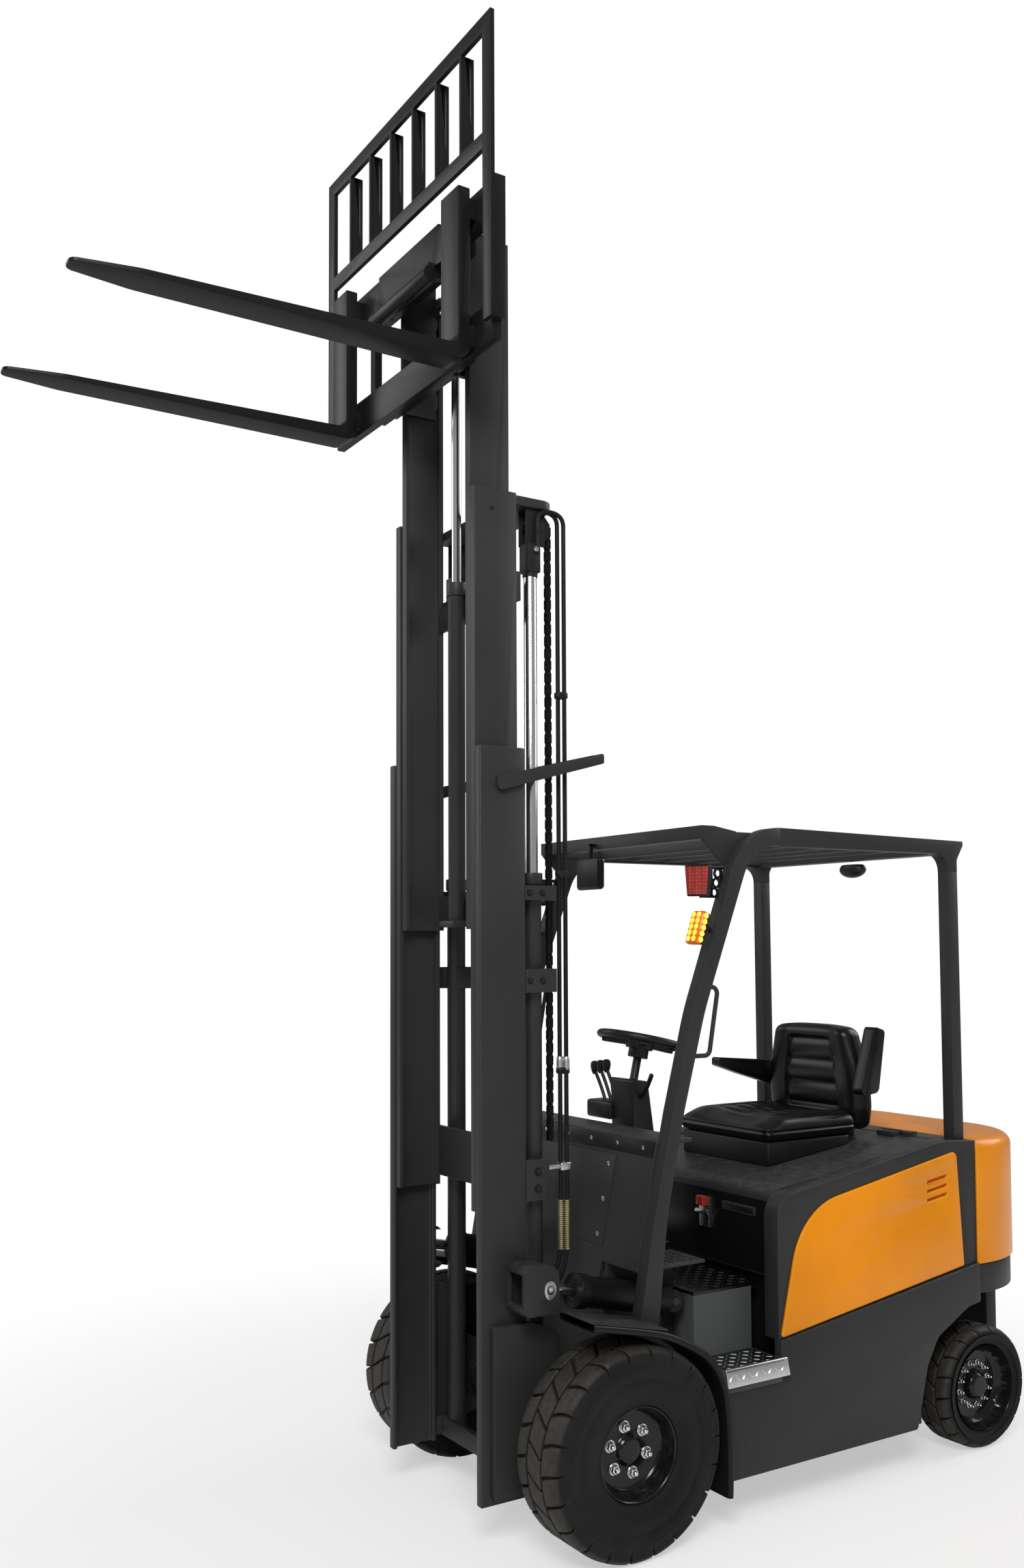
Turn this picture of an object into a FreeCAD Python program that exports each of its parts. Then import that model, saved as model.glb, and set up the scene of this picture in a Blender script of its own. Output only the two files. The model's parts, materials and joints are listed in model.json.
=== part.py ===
import FreeCAD, Part
import math
import os

# Four-wheel electric counterbalance forklift with a three-stage mast, mast part raised.
# Millimetres. +X is the truck's left, -Y is forward, +Z is up, z = 0 is the floor.
# Pieces are drawn with y = 0 at the front axle, and moved at the end to the middle of
# the overall length.

# Gaps between pieces
seat_gap = 0.3
running_gap = 0.05
moving_gap = 6.0

# Wheels
wheelbase = 1534.0
front_tyre_radius = 300.0
front_tyre_width = 215.0
front_tyre_face = 594.0
front_rim_radius = 205.0
front_disc_inset = 34.0
rear_tyre_radius = 206.0
rear_tyre_width = 165.0
rear_tyre_face = 536.0
rear_rim_radius = 143.0
rear_disc_inset = 66.0
tyre_wall_bulge = 10.0
rim_wall = 12.0

# Steer axle
kingpin_x = 340.0
kingpin_radius = 16.0
knuckle_radius = 30.0
steer_arm_height = 20.0
steer_beam_height = 84.0
steer_beam_depth = 72.0
spindle_radius = 20.0
axle_pivot_radius = 34.0
axle_pivot_half_length = 92.0
pivot_plate = 24.0

# Drive axle
axle_tube_radius = 58.0
axle_seat_radius = 70.0
axle_drum_radius = 118.0
axle_drum_length = 46.0
gear_case_half_width = 150.0
gear_case_rear_y = 215.0
gear_case_top_z = 380.0
axle_hub_reach = 86.0

# Mast: three stages of channel rails, each nested inside the one before
mast_half_width = 291.0
mast_front_y = -350.0
outer_rail_depth = 157.0
mid_rail_depth = 147.0
inner_rail_depth = 137.0
rail_step = 35.0
rail_width = 29.0
rail_web = 13.0
rail_flange = 15.0
mast_bottom_z = 131.0
outer_rail_length = 2200.0
mid_rail_length = 2151.0
inner_rail_length = 2110.0
stage_raise = 820.0
stage_foot = 14.0
inner_foot = 5.0
roller_thickness = 11.0
roller_stub_radius = 18.0
roller_heights = (75.0, 330.0)
tie_thickness = 16.0
mast_bracket_thickness = 26.0
high_tie_low_z = 985.0
tie_end_y = -112.0
top_tie_front_z = 2218.0
top_tie_rear_z = 2318.0
top_tie_rear_y = 88.0

# Lift cylinders behind the outer rails
lift_x = 232.0
lift_y = -134.0
lift_barrel_radius = 30.0
lift_barrel_top_z = 1948.0
lift_head_drop = 200.0
lift_head_height = 90.0
lift_head_half_width = 26.0
lift_rod_radius = 20.0
lift_floor_z = 180.0

# Lift chains, over sheaves on top of the middle stage, and hoses
chain_x = 222.0
chain_width = 18.0
chain_thickness = 12.0
chain_low_z = 1140.0
sheave_radius = 34.0
sheave_y = -104.0
sheave_drop = 58.0
bow_thickness = 28.0
bow_rear_y = -56.0
hose_radius = 8.0
hose_x = 186.0
hose_y = -116.0
hose_pitch = 22.0
hose_low_z = 1000.0
clamp_low_z = 1876.0
clamp_thickness = 44.0
lower_clamp_z = 1600.0

# Free lift cylinder between the inner rails
free_lift_y = -262.0
free_barrel_radius = 27.0
free_barrel_length = 1065.0
free_rod_radius = 15.0
free_lift_travel = 1710.0
inner_clamp_rise = 980.0
inner_clamp_height = 80.0

# Carriage, fork carrier, forks and load backrest
carriage_bar_front_y = -390.0
carriage_bar_depth = 26.0
carriage_bar_half_length = 300.0
carriage_plate = 18.0
carriage_height = 460.0
carriage_over_mast = 30.0
carriage_roller_heights = (75.0, 345.0)
carrier_front_y = -436.0
carrier_depth = 26.0
carrier_half_length = 520.0
lower_bar_drop = 30.0
bar_spacing = 350.0
bar_height = 110.0
hook_thickness = 12.0
hook_half_length = 200.0
shift_cylinder_radius = 24.0
fork_face_y = -495.0
fork_length = 1070.0
fork_tip_width = 52.0
fork_tip_length = 170.0
fork_width = 100.0
fork_thickness = 40.0
fork_tip_thickness = 10.0
fork_taper_length = 420.0
fork_x = 373.0
fork_heel_drop = 61.0
fork_shank_height = 500.0
backrest_half_width = 545.0
backrest_front_y = -459.0
backrest_thickness = 14.0
backrest_bottom_rise = 22.0
backrest_mid_rise = 540.0
backrest_top_rise = 902.0
backrest_bar = 46.0
backrest_slats = 6
slat_thickness = 10.0
slat_depth = 45.0

# Tilt cylinders
tilt_x = 362.0
tilt_eye_y = -185.0
tilt_eye_z = 750.0
tilt_anchor_y = 285.0
tilt_anchor_z = 647.0
tilt_barrel_radius = 46.0
tilt_collar_radius = 52.0
tilt_rod_radius = 17.0
tilt_rod_showing = 108.0
tilt_pin_radius = 13.0
tilt_eye_clearance = 2.5
tilt_eye_radius = 28.0
clevis_front_y = -268.0
clevis_rear_y = -152.0
clevis_outer_x = 402.0
clevis_low_z = 680.0
clevis_high_z = 824.0
clevis_wall = 14.0

# Chassis
body_half_width = 540.0
skirt_bottom = 135.0
skirt_front_y = 346.0
skirt_thickness = 35.0
sheet = 12.0
step_z = 465.0
step_rear_y = 580.0
step_nosing_height = 70.0
step_nosing_depth = 20.0
riser_x = 400.0
shelf_z = 772.0
shelf_rear_y = 300.0
dash_top_z = 1153.0
tilt_notch_x = 278.0
floor_z = 668.0
floor_thickness = 10.0
floor_front_y = 88.0
front_web_x = 300.0
arch_top_z = 508.0
battery_front_y = 642.0
battery_to_axle = 316.0
battery_half_width = 415.0
battery_top_z = 900.0
tray_to_axle = 299.0
sill_front_z = 516.0
sill_rear_z = 640.0

# Body panels
side_frame_outer_x = 528.0
hood_half_width = 457.0
hood_side_gap = 5.0
hood_front_y = 618.0
hood_to_axle = 149.0
hood_low_z = 690.0
hood_front_z = 958.0
hood_rear_z = 1058.0
hood_wall = 18.0
hood_hinge_radius = 9.0
hood_hinge_gap = 6.0
panel_proud = 6.0
panel_depth = 71.0
rear_overhang = 366.0
counterweight_to_axle = 32.0
counterweight_half_width = 534.0
counterweight_corner = 335.0
counterweight_low_z = 205.0
counterweight_corner_z = 530.0
counterweight_foot_half_width = 300.0
counterweight_split_z = 633.0
bumper_inset = 8.0
wheel_swing_radius = 292.0
lift_hole_radius = 15.0
lift_hole_depth = 60.0
lift_hole_past_axle = 186.0

# Fenders
fender_inner_x = 420.0
fender_thickness = 22.0

# Overhead guard
guard_half_width = 503.0
post_width = 46.0
post_depth = 48.0
guard_top_z = 2111.0
guard_beam_height = 58.0
guard_front_y = 350.0
guard_front_beam_depth = 50.0
guard_to_axle = 65.0
guard_tail = 28.0
guard_arc_radius = 212.0
guard_inner_arc_radius = 150.0
guard_arc_end_y = 636.0
guard_fall = 12.0
guard_corner_drop = 62.0
guard_bars_from_y = 442.0
guard_rear_beam_depth = 66.0
guard_bars = 5
guard_bar_depth = 20.0

# Operator's place
wheel_centre_y = 452.0
wheel_centre_z = 1418.0
steering_wheel_radius = 150.0
steering_rim_radius = 13.0
wheel_tilt = 13.0
steering_shaft_radius = 14.0
column_half_width = 62.0
seat_to_axle = 734.0
seat_back_past_front = 432.0
seat_half_width = 242.0
seat_base_top_z = 1068.0
seat_top_z = 1140.0
seat_back_top_z = 1455.0
armrest_width = 46.0

parts = {}

outer_centre_y = mast_front_y + outer_rail_depth / 2
outer_rear_y = mast_front_y + outer_rail_depth
mid_half_width = mast_half_width - rail_step
inner_half_width = mid_half_width - rail_step
mid_rear_y = outer_centre_y + mid_rail_depth / 2
inner_rear_y = outer_centre_y + inner_rail_depth / 2
mid_bottom_z = mast_bottom_z + stage_foot + stage_raise
mid_top_z = mid_bottom_z + mid_rail_length
inner_bottom_z = mid_bottom_z + inner_foot + stage_raise
inner_top_z = inner_bottom_z + inner_rail_length
carrier_rear_y = carrier_front_y + carrier_depth
carriage_top_z = inner_top_z + carriage_over_mast
carriage_bottom_z = carriage_top_z - carriage_height
lower_bar_z = carriage_bottom_z - lower_bar_drop
upper_bar_z = lower_bar_z + bar_spacing
fork_heel_z = carriage_bottom_z - fork_heel_drop
backrest_bottom_z = carriage_bottom_z + backrest_bottom_rise
backrest_mid_z = carriage_bottom_z + backrest_mid_rise
backrest_top_z = carriage_bottom_z + backrest_top_rise
battery_rear_y = wheelbase - battery_to_axle
tray_rear_y = wheelbase - tray_to_axle
hood_rear_y = wheelbase - hood_to_axle
hood_hinge_y = hood_rear_y + hood_hinge_gap
rear_y = wheelbase + rear_overhang
counterweight_front_y = wheelbase - counterweight_to_axle
lift_hole_y = wheelbase + lift_hole_past_axle
guard_rear_y = wheelbase - guard_to_axle
guard_low_z = guard_top_z - guard_beam_height
seat_front_y = wheelbase - seat_to_axle
seat_back_front_y = seat_front_y + seat_back_past_front


def vec(x, y, z):
    return FreeCAD.Vector(x, y, z)


def box(x0, x1, y0, y1, z0, z1):
    return Part.makeBox(x1 - x0, y1 - y0, z1 - z0, vec(x0, y0, z0))


def cyl_x(x0, x1, y, z, radius):
    return Part.makeCylinder(radius, x1 - x0, vec(x0, y, z), vec(1, 0, 0))


def cyl_y(y0, y1, x, z, radius):
    return Part.makeCylinder(radius, y1 - y0, vec(x, y0, z), vec(0, 1, 0))


def cyl_z(z0, z1, x, y, radius):
    return Part.makeCylinder(radius, z1 - z0, vec(x, y, z0), vec(0, 0, 1))


def rod(start, end, radius):
    """A round bar from one point to another."""
    return Part.makeCylinder(radius, (end - start).Length, start, end - start)


def outline(points):
    """Closed wire of straight sides. Each point is (u, v) or (u, v, corner radius)."""
    corners = []
    for i, point in enumerate(points):
        here = vec(point[0], point[1], 0)
        before = points[i - 1]
        after = points[(i + 1) % len(points)]
        if len(point) == 2:
            corners.append((here, here, here))
            continue
        radius = point[2]
        to_before = (vec(before[0], before[1], 0) - here).normalize()
        to_after = (vec(after[0], after[1], 0) - here).normalize()
        half = to_before.getAngle(to_after) / 2
        reach = radius / math.tan(half)
        bisector = (to_before + to_after).normalize()
        centre = here + bisector * (radius / math.sin(half))
        corners.append((here + to_before * reach, centre - bisector * radius, here + to_after * reach))
    edges = []
    for i, (start, middle, end) in enumerate(corners):
        if (end - start).Length > 1e-6:
            edges.append(Part.Arc(start, middle, end).toShape())
        next_start = corners[(i + 1) % len(corners)][0]
        if (next_start - end).Length > 1e-6:
            edges.append(Part.LineSegment(end, next_start).toShape())
    return Part.Wire(edges)


def plate_yz(points, x0, x1):
    """Plate cut from a side outline of (y, z) points, from x0 to x1."""
    wire = outline(points)
    wire.transformShape(FreeCAD.Matrix(0, 0, 1, x0, 1, 0, 0, 0, 0, 1, 0, 0, 0, 0, 0, 1))
    return Part.Face(wire).extrude(vec(x1 - x0, 0, 0))


def plate_xz(points, y0, y1):
    """Plate cut from a front outline of (x, z) points, from y0 to y1."""
    wire = outline(points)
    wire.transformShape(FreeCAD.Matrix(1, 0, 0, 0, 0, 0, 1, y0, 0, 1, 0, 0, 0, 0, 0, 1))
    return Part.Face(wire).extrude(vec(0, y1 - y0, 0))


def plate_xy(points, z0, z1):
    """Plate cut from a plan outline of (x, y) points, from z0 to z1."""
    wire = outline(points)
    wire.translate(vec(0, 0, z0))
    return Part.Face(wire).extrude(vec(0, 0, z1 - z0))


def turned(profile, y, z):
    """Solid turned about the line along X at (y, z) from (x, radius) points."""
    wire = outline(profile)
    wire.transformShape(FreeCAD.Matrix(1, 0, 0, 0, 0, 1, 0, y, 0, 0, 1, z, 0, 0, 0, 1))
    return Part.Face(wire).revolve(vec(0, y, z), vec(1, 0, 0), 360)


def tube(points, radius, bend):
    """A round tube along straight runs joined by arcs of one bend radius."""
    path = []
    here = points[0]
    for i in range(1, len(points) - 1):
        corner = points[i]
        back = (points[i - 1] - corner).normalize()
        ahead = (points[i + 1] - corner).normalize()
        half = back.getAngle(ahead) / 2
        reach = bend / math.tan(half)
        bisector = (back + ahead).normalize()
        centre = corner + bisector * (bend / math.sin(half))
        arc_start = corner + back * reach
        arc_end = corner + ahead * reach
        path.append(Part.LineSegment(here, arc_start).toShape())
        path.append(Part.Arc(arc_start, centre - bisector * bend, arc_end).toShape())
        here = arc_end
    path.append(Part.LineSegment(here, points[-1]).toShape())
    ring = Part.Wire([Part.makeCircle(radius, points[0], points[1] - points[0])])
    return Part.Wire(path).makePipeShell([ring], True, False)


def mirror(shape):
    return shape.mirror(vec(0, 0, 0), vec(1, 0, 0))


def both(shape):
    return [shape, mirror(shape)]


def fuse(shapes):
    return shapes[0].multiFuse(shapes[1:]).removeSplitter()


def add(name, *shapes):
    solids = []
    for shape in shapes:
        solids.extend(shape.Solids)
    parts[name] = solids[0] if len(solids) == 1 else Part.makeCompound(solids)


def add_both(name, *shapes):
    """One node that holds the given left-hand solids and their mirror images."""
    add(name, *shapes, *[mirror(shape) for shape in shapes])


def add_left_and_right(name, shape):
    """Two nodes, for pieces that move by themselves on each side."""
    add(name + "_left", shape)
    add(name + "_right", mirror(shape))


# Wheels

def tyre(face_x, width, radius, bead_radius, shoulder, axle_y):
    inner_x = face_x - width
    mid_radius = (bead_radius + radius) / 2
    return turned([
        (face_x - tyre_wall_bulge, bead_radius), (face_x, mid_radius, shoulder),
        (face_x - tyre_wall_bulge, radius, shoulder), (inner_x + tyre_wall_bulge, radius, shoulder),
        (inner_x, mid_radius, shoulder), (inner_x + tyre_wall_bulge, bead_radius)], axle_y, radius)


def front_wheels():
    add_left_and_right("front_tyre", tyre(
        front_tyre_face, front_tyre_width, front_tyre_radius, front_rim_radius, 24, 0))
    bead_outer = front_tyre_face - tyre_wall_bulge
    bead_inner = front_tyre_face - front_tyre_width + tyre_wall_bulge
    disc_x = front_tyre_face - front_disc_inset
    well = front_rim_radius - rim_wall
    back_x = disc_x - axle_hub_reach
    add_left_and_right("front_rim", turned([
        (bead_inner, front_rim_radius), (bead_inner, well), (disc_x - 70, well), (disc_x - 70, 128, 10),
        (back_x, 110, 8), (back_x, 0), (disc_x - 6, 0), (disc_x - 6, 52, 8), (disc_x - 34, 66, 8),
        (disc_x - 34, 112, 8), (disc_x - 8, 168, 14), (disc_x + 14, well - 6, 6),
        (bead_outer, front_rim_radius)], 0, front_tyre_radius))


def rear_wheels():
    add_left_and_right("rear_tyre", tyre(
        rear_tyre_face, rear_tyre_width, rear_tyre_radius, rear_rim_radius, 20, wheelbase))
    bead_outer = rear_tyre_face - tyre_wall_bulge
    bead_inner = rear_tyre_face - rear_tyre_width + tyre_wall_bulge
    disc_x = rear_tyre_face - rear_disc_inset
    well = rear_rim_radius - rim_wall
    bore = spindle_radius + running_gap
    add_left_and_right("rear_rim", turned([
        (bead_inner, rear_rim_radius), (bead_inner, well), (disc_x - 14, well), (disc_x - 14, 60, 8),
        (disc_x - 40, 50), (disc_x - 40, bore), (disc_x + 22, bore), (disc_x + 22, 0), (disc_x + 34, 0),
        (disc_x + 34, 34, 6), (disc_x + 24, 44, 4), (disc_x, 50), (disc_x, 112, 10), (disc_x + 14, well - 2),
        (bead_outer, rear_rim_radius)], wheelbase, rear_tyre_radius))


def drive_axle():
    z = front_tyre_radius
    end_x = front_tyre_face - front_disc_inset - axle_hub_reach - seat_gap
    seat_in = mast_half_width - moving_gap
    seat_out = mast_half_width + mast_bracket_thickness + moving_gap
    pieces = [cyl_x(-end_x, end_x, 0, z, axle_tube_radius),
              cyl_x(-gear_case_half_width, gear_case_half_width, 0, z, 76),
              box(-gear_case_half_width, gear_case_half_width, 0, gear_case_rear_y, z - 70, gear_case_top_z)]
    pieces += both(cyl_x(seat_in, seat_out, 0, z, axle_seat_radius))
    pieces += both(cyl_x(end_x - axle_drum_length, end_x, 0, z, axle_drum_radius))
    add("drive_axle", fuse(pieces))


def steer_axle():
    z = rear_tyre_radius
    y = wheelbase
    half = steer_beam_height / 2
    end = kingpin_x - knuckle_radius - 4
    beam = plate_xz([
        (-end, z - half, 8), (-120, z - half - 16, 40), (120, z - half - 16, 40), (end, z - half, 8),
        (end, z + half, 8), (120, z + half + 10, 40), (-120, z + half + 10, 40), (-end, z + half, 8)],
        y - steer_beam_depth / 2, y + steer_beam_depth / 2)
    pieces = [beam, cyl_y(y - axle_pivot_half_length, y + axle_pivot_half_length, 0, z, axle_pivot_radius)]
    for low in (z - half, z + half - steer_arm_height):
        high = low + steer_arm_height
        pieces += both(box(end - 10, kingpin_x, y - knuckle_radius, y + knuckle_radius, low, high))
        pieces += both(cyl_z(low, high, kingpin_x, y, knuckle_radius))
    pieces += both(cyl_z(z - half + 10, z + half - 10, kingpin_x, y, kingpin_radius))
    add("steer_axle", fuse(pieces))
    boss_half = half - steer_arm_height - seat_gap
    boss = cyl_z(z - boss_half, z + boss_half, kingpin_x, y, knuckle_radius)
    spindle_end = rear_tyre_face - rear_disc_inset + 22 - seat_gap
    spindle = cyl_x(kingpin_x + 10, spindle_end, y, z, spindle_radius)
    bore = cyl_z(z - half, z + half, kingpin_x, y, kingpin_radius + running_gap)
    add_left_and_right("knuckle", fuse([boss, spindle]).cut(bore))


# Mast

def rail(half_width, depth, bottom, length):
    """A channel rail on the left, open towards the middle of the mast."""
    inner = half_width - rail_width
    front = outer_centre_y - depth / 2
    body = box(inner, half_width, front, front + depth, bottom, bottom + length)
    groove = box(inner - 1, half_width - rail_web, front + rail_flange,
                 front + depth - rail_flange, bottom - 1, bottom + length + 1)
    return body.cut(groove)


def roller(face_x, z, channel_depth):
    """A guide roller on its stub, standing out of the side at face_x into a channel."""
    radius = channel_depth / 2 - rail_flange - seat_gap
    stub = cyl_x(face_x - 4, face_x + 10, outer_centre_y, z, roller_stub_radius)
    wheel_x = face_x + rail_step - rail_width + 2
    return fuse([stub, cyl_x(wheel_x, wheel_x + roller_thickness, outer_centre_y, z, radius)])


def outer_mast():
    w = mast_half_width
    chain_clear_y = sheave_y + sheave_radius - moving_gap
    add_both("outer_rails", rail(w, outer_rail_depth, mast_bottom_z, outer_rail_length))
    tie_y = mid_rear_y + tie_thickness + 14
    ties = []
    for low, high in ((mast_bottom_z + 12, lift_floor_z + 20), (high_tie_low_z, high_tie_low_z + 120)):
        pieces = [box(-w + 14, w - 14, tie_y, tie_y + tie_thickness, low, high)]
        pieces += both(box(w - 14, w, outer_rear_y, tie_y + tie_thickness, low, high))
        ties.append(pieces)
    ties[0].append(box(-w + 14, w - 14, tie_y, lift_y + lift_barrel_radius + 6, mast_bottom_z + 12, lift_floor_z - 14))
    ties[1] += both(box(w - 14, w, outer_rear_y, tie_end_y, high_tie_low_z, high_tie_low_z + 120))
    clear = both(cyl_z(lift_floor_z - 14, lift_barrel_top_z, lift_x, lift_y, lift_barrel_radius + seat_gap))
    low_tie, high_tie = [fuse(pieces).cut(clear[0]).cut(clear[1]) for pieces in ties]
    bar = plate_yz([
        (-296, top_tie_front_z - 22, 14), (-296, top_tie_front_z + 22, 14),
        (top_tie_rear_y, top_tie_rear_z + 16, 8), (top_tie_rear_y, top_tie_rear_z - 16, 8)], w, w + 16)
    cross = box(-w, w, top_tie_rear_y - 28, top_tie_rear_y - 4, top_tie_rear_z - 12, top_tie_rear_z + 10)
    clamps = []
    for low, high in ((clamp_low_z, clamp_low_z + clamp_thickness), (lower_clamp_z, lower_clamp_z + 70)):
        clamp = plate_xy([
            (w, outer_rear_y), (w, chain_clear_y, 12), (chain_x - 24, chain_clear_y, 8), (chain_x - 24, lift_y - 10, 8),
            (w - rail_width, lift_y - 36), (w - rail_width, outer_rear_y)], low, high).cut(clear[0])
        clamps += both(max(clamp.Solids, key=lambda s: s.Volume))
    z = front_tyre_radius
    bracket = plate_yz([
        (-320, 150, 10), (outer_rear_y, 150, 10), (-130, 172, 20), (50, 208, 40), (92, 262, 40),
        (92, 352, 50), (20, 400, 60), (-95, 470, 40), (-98, 600, 30), (outer_rear_y, 640, 10),
        (-320, 640, 10)], w, w + mast_bracket_thickness)
    bore = cyl_x(w - 1, w + mast_bracket_thickness + 1, 0, z, axle_seat_radius + running_gap)
    t = clevis_wall
    front, rear, base, top = clevis_front_y, clevis_rear_y, clevis_low_z, clevis_high_z
    clevis = plate_yz([(front, base, 16), (rear, base, 24), (rear, top - 8, 40), (front, top, 24)], w, clevis_outer_x)
    hollow = plate_yz([
        (front + t, base + t, 8), (rear + 1, base + t), (rear + 1, top - t - 8), (front + t, top - t, 14)],
        w - 1, clevis_outer_x - t)
    window = box(w + t, clevis_outer_x - t - 6, front - 1, front + t + 1, base + 26, top - 26)
    pin = cyl_x(w, clevis_outer_x + 5, tilt_eye_y, tilt_eye_z, tilt_pin_radius)
    brackets = both(bracket.cut(bore)) + both(fuse([clevis.cut(hollow).cut(window), pin]))
    add("outer_mast_ties", low_tie, high_tie, fuse([bar, mirror(bar), cross]), *clamps, *brackets)
    base_z = lift_floor_z - 14
    barrel = fuse([cyl_z(base_z, lift_barrel_top_z, lift_x, lift_y, lift_barrel_radius),
                   cyl_z(lift_barrel_top_z - 24, lift_barrel_top_z + 12, lift_x, lift_y, lift_barrel_radius + 4)])
    bore = cyl_z(lift_floor_z, lift_barrel_top_z + 13, lift_x, lift_y, lift_rod_radius + running_gap)
    add_both("lift_barrels", barrel.cut(bore))


def mid_mast():
    w = mid_half_width
    rollers = [roller(w, mid_bottom_z + z, outer_rail_depth) for z in roller_heights]
    add_both("mid_rails", fuse([rail(w, mid_rail_depth, mid_bottom_z, mid_rail_length)] + rollers))
    y = mid_rear_y
    low = box(-w, w, y, y + tie_thickness, mid_bottom_z + 28, mid_bottom_z + 188)
    high = box(-w, w, y, y + tie_thickness, mid_top_z - 330, mid_top_z - 240)
    plate_low = mid_top_z - bow_thickness - 6
    top = plate_xy([(-w, y), (-w, bow_rear_y, 44), (w, bow_rear_y, 44), (w, y)], plate_low, plate_low + bow_thickness)
    add("mid_mast_ties", low, high, top)
    head_top = plate_low - lift_head_drop + lift_head_height
    rod_low = lift_floor_z + stage_raise + 20
    add_both("lift_rods", cyl_z(rod_low, plate_low - lift_head_drop - seat_gap, lift_x, lift_y, lift_rod_radius))
    x = chain_x
    z = plate_low - sheave_drop
    cheeks = [box(x + side * 16 - 3, x + side * 16 + 3, lift_y - 22, sheave_y + 18, head_top - 2, plate_low - seat_gap)
              for side in (-1, 1)]
    half = lift_head_half_width
    cheeks.append(box(lift_x - half, lift_x + half - 4, lift_y - half, lift_y + half, head_top - lift_head_height,
                      head_top))
    sheave = cyl_x(x - 16, x + 16, sheave_y, z, sheave_radius)
    run_y = sheave_y + sheave_radius + chain_thickness / 2
    run = box(x - chain_width / 2, x + chain_width / 2, run_y - chain_thickness / 2 - 1,
              run_y + chain_thickness / 2, chain_low_z, z)
    add_both("lift_chains", fuse(cheeks + [sheave, run]))
    hoses = [cyl_z(hose_low_z, plate_low - seat_gap, hose_x - k * hose_pitch, hose_y, hose_radius) for k in (0, 1)]
    add("mast_hoses", *hoses)


def inner_mast():
    w = inner_half_width
    rollers = [roller(w, inner_bottom_z + z, mid_rail_depth) for z in roller_heights]
    add_both("inner_rails", fuse([rail(w, inner_rail_depth, inner_bottom_z, inner_rail_length)] + rollers))
    reach = w - rail_width
    y1 = inner_rear_y
    y0 = y1 - tie_thickness - 2
    base = inner_bottom_z + 28
    low = box(-reach, reach, y0, y1, inner_bottom_z + 10, inner_bottom_z + 110)
    seat = box(-44, 44, free_lift_y - 40, y0, inner_bottom_z + 10, base)
    clamp_z = inner_bottom_z + inner_clamp_rise
    middle = box(-reach, reach, y0, y1, clamp_z, clamp_z + inner_clamp_height)
    high = box(-reach, reach, y0, y1, inner_top_z - 70, inner_top_z - 6)
    add("inner_mast_ties", fuse([low, seat]), middle, high)
    top = base + free_barrel_length
    barrel = fuse([cyl_z(base, top, 0, free_lift_y, free_barrel_radius),
                   cyl_z(top - 40, top, 0, free_lift_y, free_barrel_radius + 5)])
    bore = cyl_z(base + 20, top + 1, 0, free_lift_y, free_rod_radius + running_gap)
    clamp = box(-20, 20, free_lift_y + free_barrel_radius - 6, y0 - seat_gap, clamp_z + 20,
                clamp_z + inner_clamp_height - 20)
    add("free_lift_barrel", fuse([barrel, clamp]).cut(bore))
    stroke = free_lift_travel / 2
    yoke_z = top + stroke + moving_gap
    pieces = [cyl_z(base + 20 + stroke + 10, yoke_z, 0, free_lift_y, free_rod_radius),
              box(-60, 60, free_lift_y - 16, free_lift_y + 16, yoke_z, yoke_z + 24)]
    pieces += both(cyl_x(34, 54, free_lift_y, yoke_z + 40, 36))
    add("free_lift_rod", fuse(pieces))


# Carriage and forks

def carriage():
    face = inner_half_width - rail_width - (rail_step - rail_width)
    rear = carriage_bar_front_y + carriage_bar_depth
    plate = box(face - carriage_plate, face, rear, inner_rear_y - 40, carriage_bottom_z, carriage_top_z)
    rollers = [roller(face, carriage_bottom_z + z, inner_rail_depth) for z in carriage_roller_heights]
    pieces = both(fuse([plate] + rollers))
    pieces += [box(-carriage_bar_half_length, carriage_bar_half_length, carriage_bar_front_y, rear, z, z + bar_height)
               for z in (lower_bar_z + 30, upper_bar_z)]
    add("carriage", fuse(pieces))


def fork_carrier():
    y0 = carrier_front_y
    y1 = carrier_rear_y
    w = carrier_half_length
    pieces = [box(-w, w, y0, y1, z, z + bar_height) for z in (lower_bar_z, upper_bar_z)]
    pieces += both(box(w - 14, w, y0, y1, lower_bar_z, upper_bar_z + bar_height))
    pieces += both(box(230, 260, y0, y1, lower_bar_z, upper_bar_z + bar_height))
    lip_y = carriage_bar_front_y + 20
    top = upper_bar_z + bar_height + seat_gap
    pieces.append(box(-hook_half_length, hook_half_length, y0, lip_y, top, top + hook_thickness))
    pieces.append(box(-hook_half_length, hook_half_length, y0, y1, top - 2, top + 1))
    low = lower_bar_z + 30 - seat_gap
    keeper = box(-hook_half_length, hook_half_length, y1 - 4, lip_y, low - hook_thickness, low)
    pieces.append(keeper)
    cylinder_z = upper_bar_z - shift_cylinder_radius - 8
    cylinder_y = y0 - shift_cylinder_radius + 4
    pieces.append(cyl_x(-190, 190, cylinder_y, cylinder_z, shift_cylinder_radius))
    pieces += both(box(150, 176, cylinder_y, y1, cylinder_z, upper_bar_z + 10))
    add("fork_carrier", fuse(pieces))


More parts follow.
